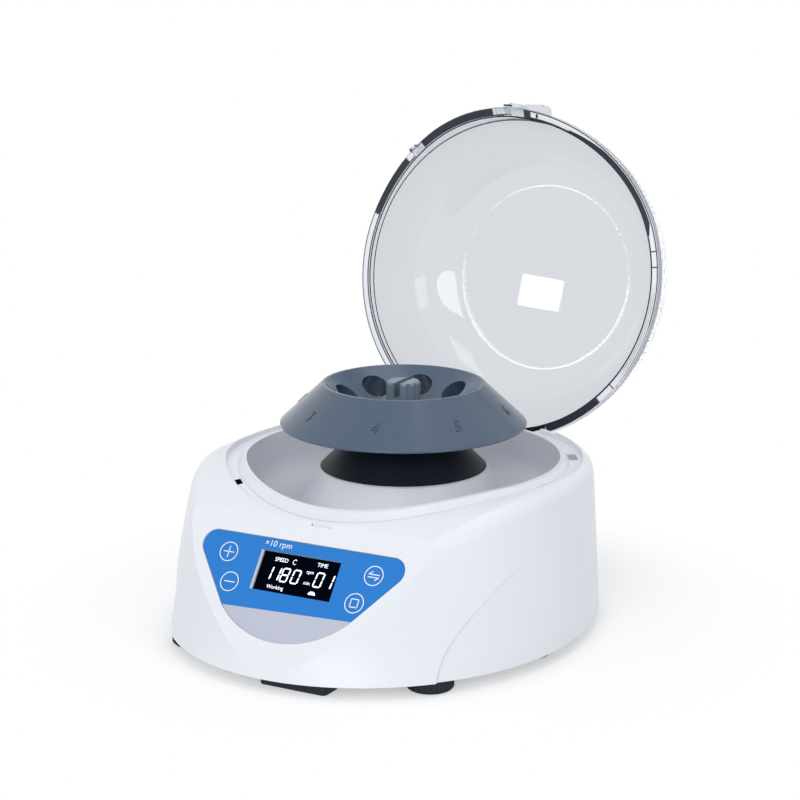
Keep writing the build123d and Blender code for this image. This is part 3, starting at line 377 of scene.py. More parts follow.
def make_world():
    """White surroundings, dimmer and cooler in the light they throw than where they are seen."""
    world = bpy.data.worlds.new("studio")
    scene.world = world
    world.use_nodes = True
    tree = world.node_tree
    tree.nodes.clear()
    lit = made(tree, "ShaderNodeBackground", Color=WORLD_TINT, Strength=WORLD_STRENGTH)
    seen = made(tree, "ShaderNodeBackground", Color=WHITE, Strength=1.0)
    mix = mixed_shaders(tree, seen_directly(tree), lit, seen)
    made(tree, "ShaderNodeOutputWorld", Surface=mix.outputs[0])


def area_light(name, place, aim, width, height, power, shape):
    """Lamp that faces a point, in metres and watts."""
    data = bpy.data.lights.new(name, "AREA")
    data.shape = shape
    data.size = width
    data.size_y = height
    data.energy = power
    lamp = added(name, data)
    lamp.location = place
    lamp.rotation_euler = (Vector(aim) - Vector(place)).to_track_quat("-Z", "Y").to_euler()


def make_floor():
    """Paper floor with the object's shadow, fading to plain white further out."""
    mesh = bpy.data.meshes.new("floor")
    form = bmesh.new()
    bmesh.ops.create_grid(form, x_segments=1, y_segments=1, size=FLOOR_HALF)
    form.to_mesh(mesh)
    form.free()
    floor = added("floor", mesh)
    material = bpy.data.materials.new("floor")
    material.use_nodes = True
    tree = material.node_tree
    tree.nodes.clear()
    paper = made(tree, "ShaderNodeBsdfDiffuse", Color=PAPER)
    paper_seen = made(tree, "ShaderNodeBsdfDiffuse", Color=PAPER_SEEN)
    glow = made(tree, "ShaderNodeEmission", Strength=PAPER_GLOW)
    white = made(tree, "ShaderNodeEmission", Strength=1.0)
    both = tree.nodes.new("ShaderNodeAddShader")
    tree.links.new(paper_seen.outputs[0], both.inputs[0])
    tree.links.new(glow.outputs[0], both.inputs[1])
    away = tree.nodes.new("ShaderNodeVectorMath")
    away.operation = "LENGTH"
    feed(tree, away.inputs[0], object_place(tree))
    fade = made(tree, "ShaderNodeMapRange", Value=away.outputs["Value"], From_Min=FADE_FROM,
                From_Max=FADE_TO)
    fade.interpolation_type = "SMOOTHSTEP"
    seen = mixed_shaders(tree, fade.outputs["Result"], both, white)
    mix = mixed_shaders(tree, seen_directly(tree), paper, seen)
    made(tree, "ShaderNodeOutputMaterial", Surface=mix.outputs[0])
    mesh.materials.append(material)


# Shader groups
SPECKLE = 0.08         # how much the grain changes the gloss
BRUSH_ROUGH = 0.16     # how much the scratches add to the roughness
BRUSH_TONE = 0.2       # and how much lighter they are than the darkest metal
BRUSH_DARKEST = 0.86


def new_group(name, takes, gives):
    """Empty group with its inputs (label, kind, value) and outputs (label, kind)."""
    group = bpy.data.node_groups.new(name, "ShaderNodeTree")
    for label, kind, value in takes:
        socket = group.interface.new_socket(label, in_out="INPUT", socket_type=kind)
        socket.default_value = value
    for label, kind in gives:
        group.interface.new_socket(label, in_out="OUTPUT", socket_type=kind)
    take = group.nodes.new("NodeGroupInput").outputs
    return group, take, group.nodes.new("NodeGroupOutput")


def swing(tree, pattern, amount):
    """Pattern from 0 to 1 turned into a swing either way round zero."""
    return product(tree, maths(tree, "SUBTRACT", pattern, 0.5), amount)


def make_skin_group():
    """Fine grain of a mould or a cast face, with patches that are a little glossier."""
    group, take, give = new_group(
        "moulded skin",
        [("Grain Scale", "NodeSocketFloat", 2400.0), ("Roughness", "NodeSocketFloat", 0.35),
         ("Spread", "NodeSocketFloat", 0.06)],
        [("Roughness", "NodeSocketFloat"), ("Height", "NodeSocketFloat")],
    )
    place = object_place(group)
    fine = noise(group, place, take["Grain Scale"])
    broad = noise(group, place, scale=26.0, detail=4.0, rough=0.6)
    drift = swing(group, broad, take["Spread"])
    speckle = swing(group, fine, SPECKLE)
    level = maths(group, "ADD", take["Roughness"], drift)
    rough = maths(group, "ADD", level, speckle, clamp=True)
    fill(group, give, {"Roughness": rough, "Height": fine})
    return group


def make_dust_group():
    """Colour that drifts a little over the piece and takes faint dust on faces that look up."""
    group, take, give = new_group(
        "settled dust",
        [("Color", "NodeSocketColor", (0.8, 0.8, 0.8, 1.0)),
         ("Dust", "NodeSocketColor", (0.6, 0.6, 0.6, 1.0)),
         ("Amount", "NodeSocketFloat", 0.05), ("Drift", "NodeSocketFloat", 0.04)],
        [("Color", "NodeSocketColor")],
    )
    place = object_place(group)
    patch = noise(group, place, scale=60.0, detail=5.0, rough=0.65)
    broad = noise(group, place, scale=9.0)
    normal = group.nodes.new("ShaderNodeNewGeometry").outputs["Normal"]
    split = made(group, "ShaderNodeSeparateXYZ", Vector=normal)
    up = maths(group, "MAXIMUM", split.outputs["Z"], 0.0)
    lying = product(group, up, patch, take["Amount"])
    shade = maths(group, "ADD", swing(group, broad, take["Drift"]), 1.0)
    tone = mixed(group, lying, shaded(group, take["Color"], shade), take["Dust"])
    fill(group, give, {"Color": tone})
    return group


def make_brush_group():
    """Long fine scratches of ground or brushed metal."""
    group, take, give = new_group(
        "brushed metal",
        [("Color", "NodeSocketColor", (0.7, 0.7, 0.7, 1.0)), ("Roughness", "NodeSocketFloat", 0.28),
         ("Stretch", "NodeSocketVector", (400.0, 6000.0, 6000.0))],
        [("Color", "NodeSocketColor"), ("Roughness", "NodeSocketFloat"),
         ("Height", "NodeSocketFloat")],
    )
    scaled = group.nodes.new("ShaderNodeVectorMath")
    scaled.operation = "MULTIPLY"
    feed(group, scaled.inputs[0], object_place(group))
    feed(group, scaled.inputs[1], take["Stretch"])
    lines = noise(group, scaled.outputs[0], scale=1.0, detail=3.0)
    rough = maths(group, "MULTIPLY_ADD", lines, BRUSH_ROUGH, take["Roughness"], clamp=True)
    darker = maths(group, "MULTIPLY_ADD", lines, BRUSH_TONE, BRUSH_DARKEST)
    tone = shaded(group, take["Color"], darker)
    fill(group, give, {"Color": tone, "Roughness": rough, "Height": lines})
    return group


moulded_skin = make_skin_group()
settled_dust = make_dust_group()
brushed_metal = make_brush_group()


# Colours that change over a piece
PRINT_BLUE = (38, 125, 206)
PRINT_GREY = (192, 195, 209)
PRINT_SPLIT = -24.0    # height on the panel where the blue ends
PRINT_SLOPE = 0.034    # and how much that edge rises towards +X
PRINT_STEEP = 12.0

SHELL_WHITE = (233, 236, 241)
# painted shade for the inner walls of the slots
SLOT_SHADE = (16, 18, 24)

# Slots in the ledge channel whose inner walls are in shade: centre, turn and half size
HOOK_TURN = radians(-42.5)
HOOK_RADIUS = 99.6
SLOT_LEVEL = 80.0
SLOTS = [
    (Vector((HOOK_RADIUS * sin(HOOK_TURN), -HOOK_RADIUS * cos(HOOK_TURN), SLOT_LEVEL)), HOOK_TURN,
     (3.34, 1.79, 12.0)),
    (Vector((6.0, -103.0, SLOT_LEVEL)), 0.0, (6.24, 1.44, 14.0)),
]

# The seal through the clear rim: its own dark where it is pressed on, and elsewhere painted
# refraction of the clear rim, pale with dark edge lines and fine lines. Stretches are degrees from
# the latch towards +X, rings are radii, and each has how steeply it sets in after its two limits.
LINE_STEEP = 4.0
SEAL_PALE = (243, 245, 248)
SEAL_DARK = (24, 30, 46)
SEAL_BLUE = (40, 56, 88)
PRESSED_STEEP = 1.5
PRESSED_STRETCHES = [(134.5, 158.0), (287.5, 312.0), (315.0, 353.0)]    # dark right across
MARKS = [77.0, 82.5, 128.0]             # thin dark marks, and half their width
MARK_HALF = 0.35
OUTER_LINE = 102.0                      # radius where the dark outer line starts
RIGHT_STRETCH = (-1.0, 104.0), 0.5      # there the outer line is this much wider
RIGHT_WIDER = 0.55
INNER_RING = (90.0, 98.7), LINE_STEEP
LEFT_STRETCH = (225.0, 290.0), 0.5      # there the outer line is wide and bluer
LEFT_RING = (101.2, 104.0), 1.2
WEDGE_STRETCH = (22.0, 72.0), 1.0       # the dark part right of the latch, a wedge at either end
WEDGE_GROW = (0.13, 99.3)               # millimetres for each degree, and the radius at that end
WEDGE_SHRINK = (0.5, 98.8)
WEDGE_TOP = 101.3
FINE_STRETCH = (88.0, 126.0), 0.15      # fine lines along the lower right
FINE_WAVES = 5.2
FINE_CUT = 0.25
FINE_STRENGTH = 0.62
TICK_STRETCH = (9.3, 10.4), LINE_STEEP
TICK_RING = (98.6, 101.4), LINE_STEEP

CATCH_DARK = (38, 44, 58)
CATCH_PALE = (226, 230, 236)
CATCH_FOOT_END = 8.4              # across: left of this the foot is pale
CATCH_FOOT_RADIUS = 102.6         # inside this radius lies the foot
CATCH_TIP_START = 6.6             # across: right of this the tip is pale
CATCH_STEEP = 5.0

BEZEL_DARK = (150, 154, 160)
BEZEL_LIGHT = (232, 235, 239)
BEZEL_WAVES = 9.0
BEZEL_STRIP = ((-25.4, 0.75), (-2.2, 11.6))    # silver strip at the left: middle and half size


def panel_ink(tree):
    """Blue print with the pale area below it."""
    edge = PANEL_UP - ACROSS * PRINT_SLOPE
    height = dot(tree, object_place(tree), edge, PANEL_POINT)
    below = falls(tree, height, PRINT_SPLIT, PRINT_STEEP)
    return mixed(tree, below, linear(PRINT_BLUE), linear(PRINT_GREY))


def lid_turn(tree):
    """Degrees round the lid's ring from the latch towards +X, and the radius in millimetres."""
    place = object_place(tree)
    across = dot(tree, place, ACROSS, ORIGIN)
    back = maths(tree, "ADD", dot(tree, place, LID_BACK, HINGE), HINGE.y)
    angle = maths(tree, "ARCTAN2", across, maths(tree, "MULTIPLY", back, -1.0))
    share = maths(tree, "FRACT", maths(tree, "DIVIDE", angle, 2 * pi))
    squares = maths(tree, "ADD", product(tree, across, across), product(tree, back, back))
    return maths(tree, "MULTIPLY", share, 360.0), maths(tree, "SQRT", squares)


def seal_ink(tree):
    """Seal through the clear rim: dark where pressed on, elsewhere pale with dark edges; the pale
    parts and the lines are painted refraction of the clear rim.
    """
    turn, radius = lid_turn(tree)
    masks = [between(tree, turn, stretch, PRESSED_STEEP) for stretch in PRESSED_STRETCHES]
    # outer line, wider at the right and bluer at the left, and inner line
    right = between(tree, turn, *RIGHT_STRETCH)
    edge = maths(tree, "MULTIPLY_ADD", right, -RIGHT_WIDER, OUTER_LINE)
    masks.append(rises(tree, radius, edge, LINE_STEEP))
    masks.append(between(tree, radius, *INNER_RING))
    left = between(tree, turn, *LEFT_STRETCH)
    masks.append(product(tree, left, between(tree, radius, *LEFT_RING)))
    # wedges right of the latch
    first, last = WEDGE_STRETCH[0]
    grow = maths(tree, "MULTIPLY_ADD", maths(tree, "SUBTRACT", turn, first), *WEDGE_GROW)
    shrink = maths(tree, "MULTIPLY_ADD", maths(tree, "SUBTRACT", last, turn), *WEDGE_SHRINK)
    edge = maths(tree, "MINIMUM", maths(tree, "MINIMUM", grow, shrink), WEDGE_TOP)
    inside = falls(tree, radius, edge, LINE_STEEP)
    masks.append(product(tree, inside, between(tree, turn, *WEDGE_STRETCH)))
    # fine lines, thin marks and the tick beside the latch
    waves = maths(tree, "SINE", maths(tree, "MULTIPLY", radius, FINE_WAVES))
    lines = maths(tree, "GREATER_THAN", waves, FINE_CUT)
    masks.append(product(tree, lines, FINE_STRENGTH, between(tree, turn, *FINE_STRETCH)))
    for mark in MARKS:
        masks.append(between(tree, turn, (mark - MARK_HALF, mark + MARK_HALF), LINE_STEEP))
    masks.append(product(tree, between(tree, turn, *TICK_STRETCH),
                         between(tree, radius, *TICK_RING)))
    # only on the flat faces
    flat = maths(tree, "GREATER_THAN", maths(tree, "ABSOLUTE", facing(tree, LID_UP)), 0.5)
    dark = product(tree, strongest(tree, *masks), flat)
    tone = mixed(tree, left, linear(SEAL_DARK), linear(SEAL_BLUE))
    return mixed(tree, dark, linear(SEAL_PALE), tone)


def slot_ink(tree):
    """Housing plastic, with painted shade on the walls of the hook's and the latch's slots."""
    place = object_place(tree)
    masks = []
    for centre, turn, half in SLOTS:
        axes = (Vector((cos(turn), sin(turn), 0.0)), Vector((-sin(turn), cos(turn), 0.0)),
                Vector((0.0, 0.0, 1.0)))
        sides = [near(tree, dot(tree, place, axis, centre), 0.0, size)
                 for axis, size in zip(axes, half)]
        masks.append(product(tree, *sides))
    return mixed(tree, strongest(tree, *masks), linear(SHELL_WHITE), linear(SLOT_SHADE))


def tongue_ink(tree):
    """Latch: its foot is pale beside the clear block and dark at the catch."""
    across = dot(tree, object_place(tree), ACROSS, ORIGIN)
    _, radius = lid_turn(tree)
    beside = falls(tree, across, CATCH_FOOT_END, CATCH_STEEP)
    foot = falls(tree, radius, CATCH_FOOT_RADIUS, CATCH_STEEP)
    tip = rises(tree, across, CATCH_TIP_START, CATCH_STEEP)
    tip = product(tree, tip, maths(tree, "SUBTRACT", 1.0, foot))
    pale = strongest(tree, product(tree, beside, foot), tip)
    return mixed(tree, pale, linear(CATCH_DARK), linear(CATCH_PALE))


# Materials
DUST = (176, 178, 182)


def blank(name):
    """New material with its node tree and its shader."""
    material = bpy.data.materials.new(name)
    material.use_nodes = True
    return material, material.node_tree, material.node_tree.nodes["Principled BSDF"]


def bump(tree, height, depth, shader):
    """Fine relief, with its depth in millimetres."""
    node = made(tree, "ShaderNodeBump", Strength=1.0, Distance=depth * MM, Height=height)
    feed(tree, shader.inputs["Normal"], node.outputs["Normal"])


def plastic(name, colour, rough, grain=2400.0, depth=0.02, dust=0.04, drift=0.03, spread=0.06,
            **more):
    """Moulded plastic or rubber: faint drift and dust, fine grain and uneven gloss.

    The colour is three values or a function that lays out the print in the material's tree; such a
    function may also lay out painted shade (the slots) and painted refraction (the seal).
    """
    material, tree, shader = blank(name)
    source = colour(tree) if callable(colour) else linear(colour)
    tone = placed(tree, settled_dust, Color=source, Dust=linear(DUST), Amount=dust, Drift=drift)
    skin = placed(tree, moulded_skin, Grain_Scale=grain, Roughness=rough, Spread=spread)
    fill(tree, shader, {"Base Color": tone.outputs["Color"],
                        "Roughness": skin.outputs["Roughness"], **more})
    bump(tree, skin.outputs["Height"], depth, shader)
    return material


def metal(name, colour, rough, stretch=(400.0, 6000.0, 6000.0), depth=0.004):
    """Ground, turned or brushed metal."""
    material, tree, shader = blank(name)
    brushed = placed(tree, brushed_metal, Color=linear(colour), Roughness=rough, Stretch=stretch)
    fill(tree, shader, {"Base Color": brushed.outputs["Color"],
                        "Roughness": brushed.outputs["Roughness"], "Metallic": 1.0})
    bump(tree, brushed.outputs["Height"], depth, shader)
    return material


def clear(name, colour, edge_colour, spread, rough=0.0):
    """Clear moulded plastic, tinted more where it is seen at a slant."""
    material, tree, shader = blank(name)
    skin = placed(tree, moulded_skin, Grain_Scale=900.0, Roughness=rough, Spread=spread)
    slant = made(tree, "ShaderNodeLayerWeight", Blend=0.2).outputs["Facing"]
    tint = mixed(tree, slant, linear(colour), linear(edge_colour))
    fill(tree, shader, {"Base Color": tint, "Roughness": skin.outputs["Roughness"],
                        "Transmission Weight": 1.0, "IOR": 1.16, "Coat Weight": 0.5,
                        "Coat Roughness": 0.0})
    return material


def lit_print(name, colour, cooler, glow):
    """Lit segments of the display, a little uneven."""
    material, tree, shader = blank(name)
    patchy = noise(tree, object_place(tree), scale=900.0, detail=1.0)
    level = mixed(tree, maths(tree, "MULTIPLY", patchy, 0.3), linear(colour), linear(cooler))
    fill(tree, shader, {"Base Color": level, "Emission Color": level, "Emission Strength": glow,
                        "Roughness": 0.5})
    return material


def bezel(name):
    """Display frame: its front takes the panel's blue, its inner walls are ribbed silver."""
    material, tree, shader = blank(name)
    place = object_place(tree)
    across = dot(tree, place, ACROSS, PANEL_POINT)
    height = dot(tree, place, PANEL_UP, PANEL_POINT)
    strip = product(tree, near(tree, across, *BEZEL_STRIP[0]), near(tree, height, *BEZEL_STRIP[1]))
    front = product(tree, maths(tree, "GREATER_THAN", facing(tree, PANEL_OUT), 0.9),
                    maths(tree, "SUBTRACT", 1.0, strip))
    along = maths(tree, "ADD", height, across)
    waves = maths(tree, "SINE", maths(tree, "MULTIPLY", along, BEZEL_WAVES))
    ribs = maths(tree, "MULTIPLY_ADD", waves, 0.5, 0.5)
    silver = mixed(tree, ribs, linear(BEZEL_DARK), linear(BEZEL_LIGHT))
    skin = placed(tree, moulded_skin, Grain_Scale=3000.0, Roughness=0.3, Spread=0.05)
    fill(tree, shader, {"Base Color": mixed(tree, front, silver, linear(PRINT_BLUE)),
                        "Roughness": skin.outputs["Roughness"], "Specular IOR Level": 0.2})
    bump(tree, ribs, 0.03, shader)
    return material


# Plastics and rubbers: colour or print, roughness, and what differs from the usual
PLASTICS = {
    "shell_white": (slot_ink, 0.33, dict(depth=0.012, dust=0.02, drift=0.015)),
    "bowl_white": ((232, 233, 240), 0.3, dict(depth=0.01, dust=0.05)),
    "boot_rubber": ((15, 23, 35), 0.5,
                    dict(grain=1500.0, depth=0.03, dust=0.02, Specular_IOR_Level=0.3)),
    "rotor_satin": ((70, 88, 109), 0.2, dict(grain=3200.0, depth=0.004, dust=0.02)),
    # the numbers are the rotor's own colour; their darker tone here is painted shade
    "number_satin_painted_shade": ((60, 76, 97), 0.25, dict(grain=3200.0, depth=0.004, dust=0.0)),
    "knob_satin": ((118, 130, 145), 0.28, dict(grain=3200.0, depth=0.012)),
    "foot_rubber": ((34, 39, 49), 0.6, dict(grain=1400.0, depth=0.05, Specular_IOR_Level=0.3)),
    "mount_rubber": ((30, 30, 32), 0.6, dict(grain=1400.0, depth=0.05, dust=0.1)),
    "seal_rubber": (seal_ink, 0.42, dict(grain=1800.0, dust=0.0, drift=0.0)),
    "catch_dark": (tongue_ink, 0.4, dict(depth=0.015)),
    "pad_grey": ((150, 156, 168), 0.4, dict(depth=0.015)),
    "panel_film": (panel_ink, 0.32, dict(grain=5000.0, depth=0.004, dust=0.01, drift=0.02,
                                         Specular_IOR_Level=0.2)),
    "key_film": (PRINT_BLUE, 0.32, dict(grain=5000.0, depth=0.004, dust=0.01, drift=0.02,
                                        Specular_IOR_Level=0.2)),
    "window_black": ((2, 7, 18), 0.12, dict(grain=900.0, depth=0.0005, dust=0.0, spread=0.04,
                                            Specular_IOR_Level=0.0)),
    "board_green": ((30, 96, 62), 0.45, dict(grain=1200.0, dust=0.1)),
    "component_black": ((34, 34, 38), 0.5, dict(grain=2000.0, depth=0.03, dust=0.1)),
    "inlet_black": ((24, 24, 27), 0.42, dict(grain=2200.0, depth=0.03, dust=0.06)),
    "bracket_white": ((208, 212, 218), 0.42, dict(grain=1600.0, depth=0.015, dust=0.05)),
    "motor_paint": ((74, 78, 84), 0.45, dict(grain=1300.0, depth=0.03, dust=0.12)),
    "print_white": ((240, 244, 250), 0.4, dict(grain=4000.0, depth=0.003, dust=0.0)),
}

# Metals: colour, roughness, and what differs from the usual
METALS = {
    "screw_steel": ((176, 178, 182), 0.3, {}),
    "rod_steel": ((190, 192, 196), 0.22, dict(stretch=(300.0, 5000.0, 5000.0))),
    "turned_aluminium": ((200, 203, 208), 0.26, dict(stretch=(300.0, 300.0, 9000.0))),
    "stator_iron": ((96, 92, 90), 0.5, dict(stretch=(200.0, 200.0, 4000.0), depth=0.03)),
    "pin_plated": ((200, 190, 150), 0.3, {}),
}

# Which nodes take which finish. All others are screws and take screw_steel.
WORN_BY = {
    "shell_white": ["upper_housing", "base_plate"],
    "bowl_white": ["chamber_bowl"],
    "boot_rubber": ["motor_boot"],
    "rotor_satin": ["rotor"],
    "knob_satin": ["rotor_lock_knob"],
    "turned_aluminium": ["rotor_adapter"],
    "foot_rubber": ["round_feet", "front_foot"],
    "lid_clear": ["lid_dome"],
    "seal_rubber": ["lid_seal"],
    "latch_clear": ["lid_latch_block", "lid_switch_hook"],
    "catch_dark": ["lid_latch_tongue"],
    "bracket_white": ["lid_hinge_leaf", "hinge_bracket"],
    "panel_film": ["panel_overlay"],
    "key_film": ["button_plus", "button_minus", "button_direction", "button_start_stop"],
    "bezel_silver": ["display_bezel"],
    "window_black": ["display_window"],
    "component_black": ["display_module", "tact_switches", "power_components", "lid_microswitch"],
    "board_green": ["control_board", "power_board"],
    "motor_paint": ["motor_can", "motor_end_cap", "lid_lock_solenoid"],
    "stator_iron": ["motor_stator", "magnet_rotor"],
    "mount_rubber": ["vibration_mounts"],
    "pad_grey": ["ledge_pad"],
    "inlet_black": ["power_inlet", "power_switch_frame", "power_rocker"],
    "pin_plated": ["inlet_pins"],
    "rod_steel": ["hinge_rod", "rod_clips", "lock_bolt", "motor_shaft", "motor_plate",
                  "upper_bearing", "lower_bearing"],
}

finish = {
    "bezel_silver": bezel("bezel_silver"),
    "lid_clear": clear("lid_clear", (216, 219, 224), (196, 199, 207), 0.0),
    "latch_clear": clear("latch_clear", (236, 239, 243), (214, 218, 225), 0.05, rough=0.04),
    "display_lit": lit_print("display_lit", (238, 246, 255), (205, 222, 245), 0.75),
}
for name, (colour, rough, more) in PLASTICS.items():
    finish[name] = plastic(name, colour, rough, **more)
for name, (colour, rough, more) in METALS.items():
    finish[name] = metal(name, colour, rough, **more)

worn = {name: finish[look] for look, names in WORN_BY.items() for name in names}
for name, node in nodes.items():
    node.data.materials.clear()
    node.data.materials.append(worn.get(name, finish["screw_steel"]))


# Display
SEGMENTS = {"0": "abcdef", "1": "bc", "8": "abcdefg"}
DIGIT_SLANT = 0.13
SEGMENT_WIDTH = 0.85
SEGMENT_GAP = 0.12
SHOW_LOW = 0.01     # the signs lie between these heights over the window
SHOW_HIGH = 0.04

# Digits with their places across, then the row's height on the panel, digit width and height
DIGIT_ROWS = [
    ((("1", -21.0), ("1", -16.0), ("8", -10.3), ("0", -3.4)), -6.6, 4.2, 7.7),
    ((("0", 11.0), ("1", 17.3)), -6.4, 4.4, 8.2),
]
# Words, letter size, and middle as (across, up)
WORDS = [
    ("SPEED", 3.3, (-12.6, 5.4)), ("TIME", 3.3, (13.4, 6.1)), ("rpm", 2.9, (7.2, 1.2)),
    ("min", 2.9, (7.0, -5.2)), ("Working", 3.1, (-11.5, -10.6)),
]
LID_SIGN_BAR = [(9.6, -11.3), (14.4, -11.3)]
LID_SIGN_MIDDLE = (12.0, -11.0)
LID_SIGN_RADII = (2.2, 1.7)
SCALE_PRINT = ("×10 rpm", 5.0, (-16.9, 13.6))    # above the window, on the film
ARROW_MIDDLE = (-4.0, 5.4)
ARROW_RADII = (1.25, 1.35)
ARROW_LINE = 0.28
BARB_LINE = 0.25


def add_digit(form, sign, x, v, width, height, place):
    """Seven-segment digit with mitred segments, leaning to the right."""
    half = SEGMENT_WIDTH / 2
    mid = height / 2
    rows = {"a": height, "g": mid, "d": 0.0}
    columns = {"b": (width, mid, height), "c": (width, 0.0, mid), "e": (0.0, 0.0, mid),
               "f": (0.0, mid, height)}
    for segment in SEGMENTS[sign]:
        if segment in rows:
            y = rows[segment]
            x0, x1 = SEGMENT_GAP, width - SEGMENT_GAP
            outline = [(x0, y), (x0 + half, y - half), (x1 - half, y - half), (x1, y),
                       (x1 - half, y + half), (x0 + half, y + half)]
        else:
            xc, low, high = columns[segment]
            y0, y1 = low + SEGMENT_GAP, high - SEGMENT_GAP
            outline = [(xc, y0), (xc + half, y0 + half), (xc + half, y1 - half), (xc, y1),
                       (xc - half, y1 - half), (xc - half, y0 + half)]
        leaned = [(x + px + DIGIT_SLANT * py, v + py) for px, py in outline]
        prism(form, leaned, SHOW_LOW, SHOW_HIGH, place)


def arc_points(middle, radii, angles):
    """Points of an oval at the given angles."""
    return [(middle[0] + radii[0] * cos(a), middle[1] + radii[1] * sin(a)) for a in angles]


def make_display():
    """Lit signs on the window, and the scale print above it."""
    face = face_out("display_window")

    def place(x, v, out):
        return on_panel(x, v, face + out)

    form = bmesh.new()
    for digits, v, width, height in DIGIT_ROWS:
        for sign, x in digits:
            add_digit(form, sign, x, v, width, height, place)
    for words, size, middle in WORDS:
        add_text(form, words, size, SHOW_HIGH, place, middle, spacing=0.95)
    # lid sign: a low dome over a bar
    half_turn = [pi * i / 10 for i in range(11)]
    dome = LID_SIGN_BAR + arc_points(LID_SIGN_MIDDLE, LID_SIGN_RADII, half_turn)
    prism(form, dome, SHOW_LOW, SHOW_HIGH, place)
    # turning arrow beside the speed
    arc = arc_points(ARROW_MIDDLE, ARROW_RADII, [radians(60 + 24 * i) for i in range(11)])
    for a, b in zip(arc, arc[1:]):
        stroke(form, a, b, ARROW_LINE, SHOW_LOW, SHOW_HIGH, place)
    barb = (arc[0][0] - 0.6, arc[0][1] + 0.5)
    stroke(form, arc[0], barb, BARB_LINE, SHOW_LOW, SHOW_HIGH, place)
    piece("display_signs", form, "housing", finish["display_lit"])

    form = bmesh.new()
    words, size, middle = SCALE_PRINT
    add_text(form, words, size, SHOW_HIGH, on_panel, middle, shear=0.05)
    piece("speed_scale_print", form, "housing", finish["print_white"])


# Signs on the keys: the key's middle on the panel, and the lines of its sign from there
KEYS = {
    "button_plus": ((-46.3, 4.9), [((-3.1, 0.0), (3.1, 0.0)), ((0.0, -3.1), (0.0, 3.1))]),
    "button_minus": ((-39.8, -12.0), [((-3.1, 0.0), (3.1, 0.0))]),
    "button_direction": ((46.3, 4.9), [
        ((-3.2, 0.7), (3.2, 0.7)), ((-3.2, 0.7), (-1.2, 2.3)),
        ((-3.2, -0.9), (3.2, -0.9)), ((3.2, -0.9), (1.2, -2.5)),
    ]),
    "button_start_stop": ((39.8, -12.0), [
        ((-2.3, -2.3), (2.3, -2.3)), ((2.3, -2.3), (2.3, 2.3)),
        ((2.3, 2.3), (-2.3, 2.3)), ((-2.3, 2.3), (-2.3, -2.3)),
    ]),
}
KEY_LINE = 0.55
KEY_INK = 0.05             # thickness of the ink
KEY_RING = (5.25, 5.8)


def make_key_signs():
    """Printed ring and sign on each key, riding with the key."""
    for name, ((x, v), lines) in KEYS.items():
        face = face_out(name)

        def place(px, pv, out, face=face):
            return on_panel(px, pv, face + out)

        form = bmesh.new()
        band(form, (x, v), *KEY_RING, 0.0, KEY_INK, place)
        for a, b in lines:
            ends = (x + a[0], v + a[1]), (x + b[0], v + b[1])
            stroke(form, *ends, KEY_LINE, 0.0, KEY_INK, place)
        piece(name.replace("button", "sign"), form, name, finish["print_white"])


# Numbers on the rotor
NUMBER_SIZE = 10.6
NUMBER_RAISE = 0.4
NUMBER_ALONG = 14.6      # middle of a number, up the cone from its lower edge
NUMBER_FOUR = 13.4       # degrees from the front to the number 4
NUMBER_SQUEEZE = 0.82    # width against the letters' own
NUMBER_SINK = 0.06       # how deep the numbers start in the cone
NUMBER_BEVEL = 0.06


def make_rotor_numbers():
    """Raised numbers 1 to 8, bent round the cone."""
    form = bmesh.new()
    slope = (CONE_LOW.x - CONE_HIGH.x) / (CONE_HIGH - CONE_LOW).length
    radius = CONE_LOW.x - NUMBER_ALONG * slope
    for number in range(1, 9):
        turn = radians(NUMBER_FOUR + 45 * (number - 4))

        def place(x, y, out, turn=turn):
            return on_cone(turn + NUMBER_SQUEEZE * x / radius, NUMBER_ALONG + y, out - NUMBER_SINK)

        add_text(form, str(number), NUMBER_SIZE, NUMBER_RAISE, place, (0.0, 0.0),
                 bevel=NUMBER_BEVEL, shear=0.2)
    piece("rotor_numbers", form, "rotor", finish["number_satin_painted_shade"])


# Grip ribs round the feet
FOOT_PLACES = [(76.0, -108.0), (-76.0, -108.0), (98.0, -32.0), (-98.0, -32.0), (68.0, 76.0),
               (-68.0, 76.0)]
RIB_MIDDLE = 0.0036    # metres above the ground
RIB_INPUTS = [
    ("Ribs", "NodeSocketInt", 26),
    ("Foot Radius", "NodeSocketFloat", 0.0125),
    ("Rib Radius", "NodeSocketFloat", 0.0007),
    ("Rib Height", "NodeSocketFloat", 0.005),
    ("Finish", "NodeSocketMaterial", None),
]


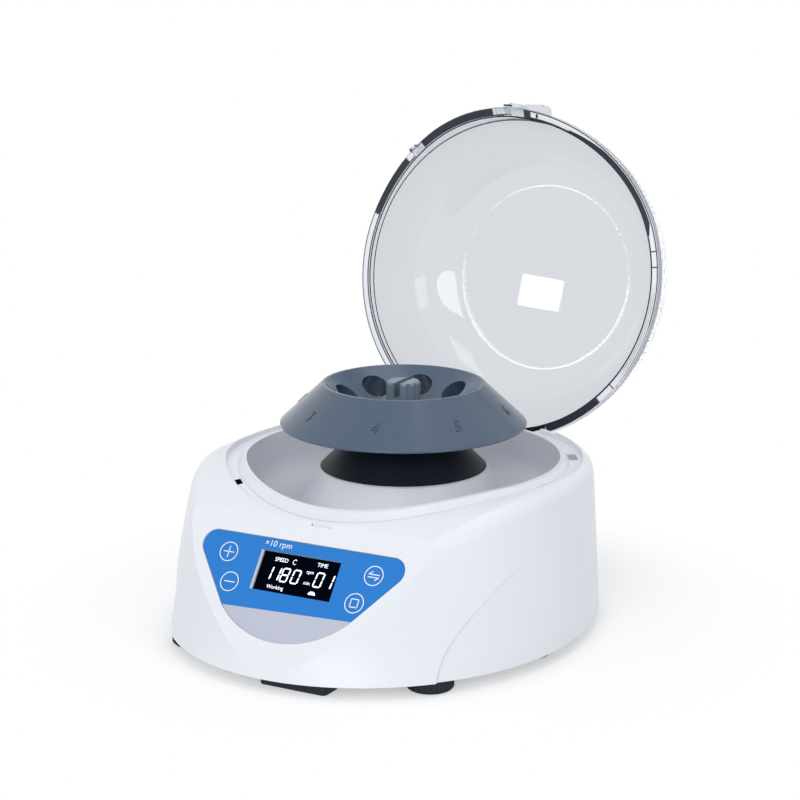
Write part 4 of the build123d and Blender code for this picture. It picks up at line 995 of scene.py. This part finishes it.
def ribs_tree():
    """Upright ribs in a circle round each of the points it is given."""
    tree = bpy.data.node_groups.new("grip ribs", "GeometryNodeTree")
    face = tree.interface
    face.new_socket("Feet", in_out="INPUT", socket_type="NodeSocketGeometry")
    takes = {}
    for label, kind, value in RIB_INPUTS:
        socket = face.new_socket(label, in_out="INPUT", socket_type=kind)
        if value is not None:
            socket.default_value = value
        takes[label] = socket.identifier
    face.new_socket("Ribs Out", in_out="OUTPUT", socket_type="NodeSocketGeometry")
    take = tree.nodes.new("NodeGroupInput").outputs
    circle = made(tree, "GeometryNodeMeshCircle", Vertices=take["Ribs"], Radius=take["Foot Radius"])
    rib = made(tree, "GeometryNodeMeshCylinder", Vertices=8, Radius=take["Rib Radius"],
               Depth=take["Rib Height"])
    one_foot = made(tree, "GeometryNodeInstanceOnPoints", Points=circle.outputs["Mesh"],
                    Instance=rib.outputs["Mesh"])
    all_feet = made(tree, "GeometryNodeInstanceOnPoints", Points=take["Feet"],
                    Instance=one_foot.outputs["Instances"])
    real = made(tree, "GeometryNodeRealizeInstances", Geometry=all_feet.outputs["Instances"])
    dressed = made(tree, "GeometryNodeSetMaterial", Geometry=real.outputs["Geometry"],
                   Material=take["Finish"])
    made(tree, "NodeGroupOutput", Ribs_Out=dressed.outputs["Geometry"])
    return tree, takes


def make_foot_ribs():
    """Ribs on the round feet, grown from one point for each foot."""
    tree, takes = ribs_tree()
    mesh = bpy.data.meshes.new("foot_points")
    mesh.from_pydata([(x * MM, y * MM, RIB_MIDDLE) for x, y in FOOT_PLACES], [], [])
    points = added("foot_points", mesh)
    modifier = points.modifiers.new("ribs", "NODES")
    modifier.node_group = tree
    modifier[takes["Finish"]] = finish["foot_rubber"]
    grown = grown_mesh(points)
    grown.name = "foot_ribs"
    ribs = added("foot_ribs", grown)
    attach(ribs, "housing")


make_camera()
make_world()
for lamp in LAMPS:
    area_light(*lamp)
make_floor()
make_display()
make_key_signs()
make_rotor_numbers()
make_foot_ribs()

scene.view_settings.view_transform = "Standard"
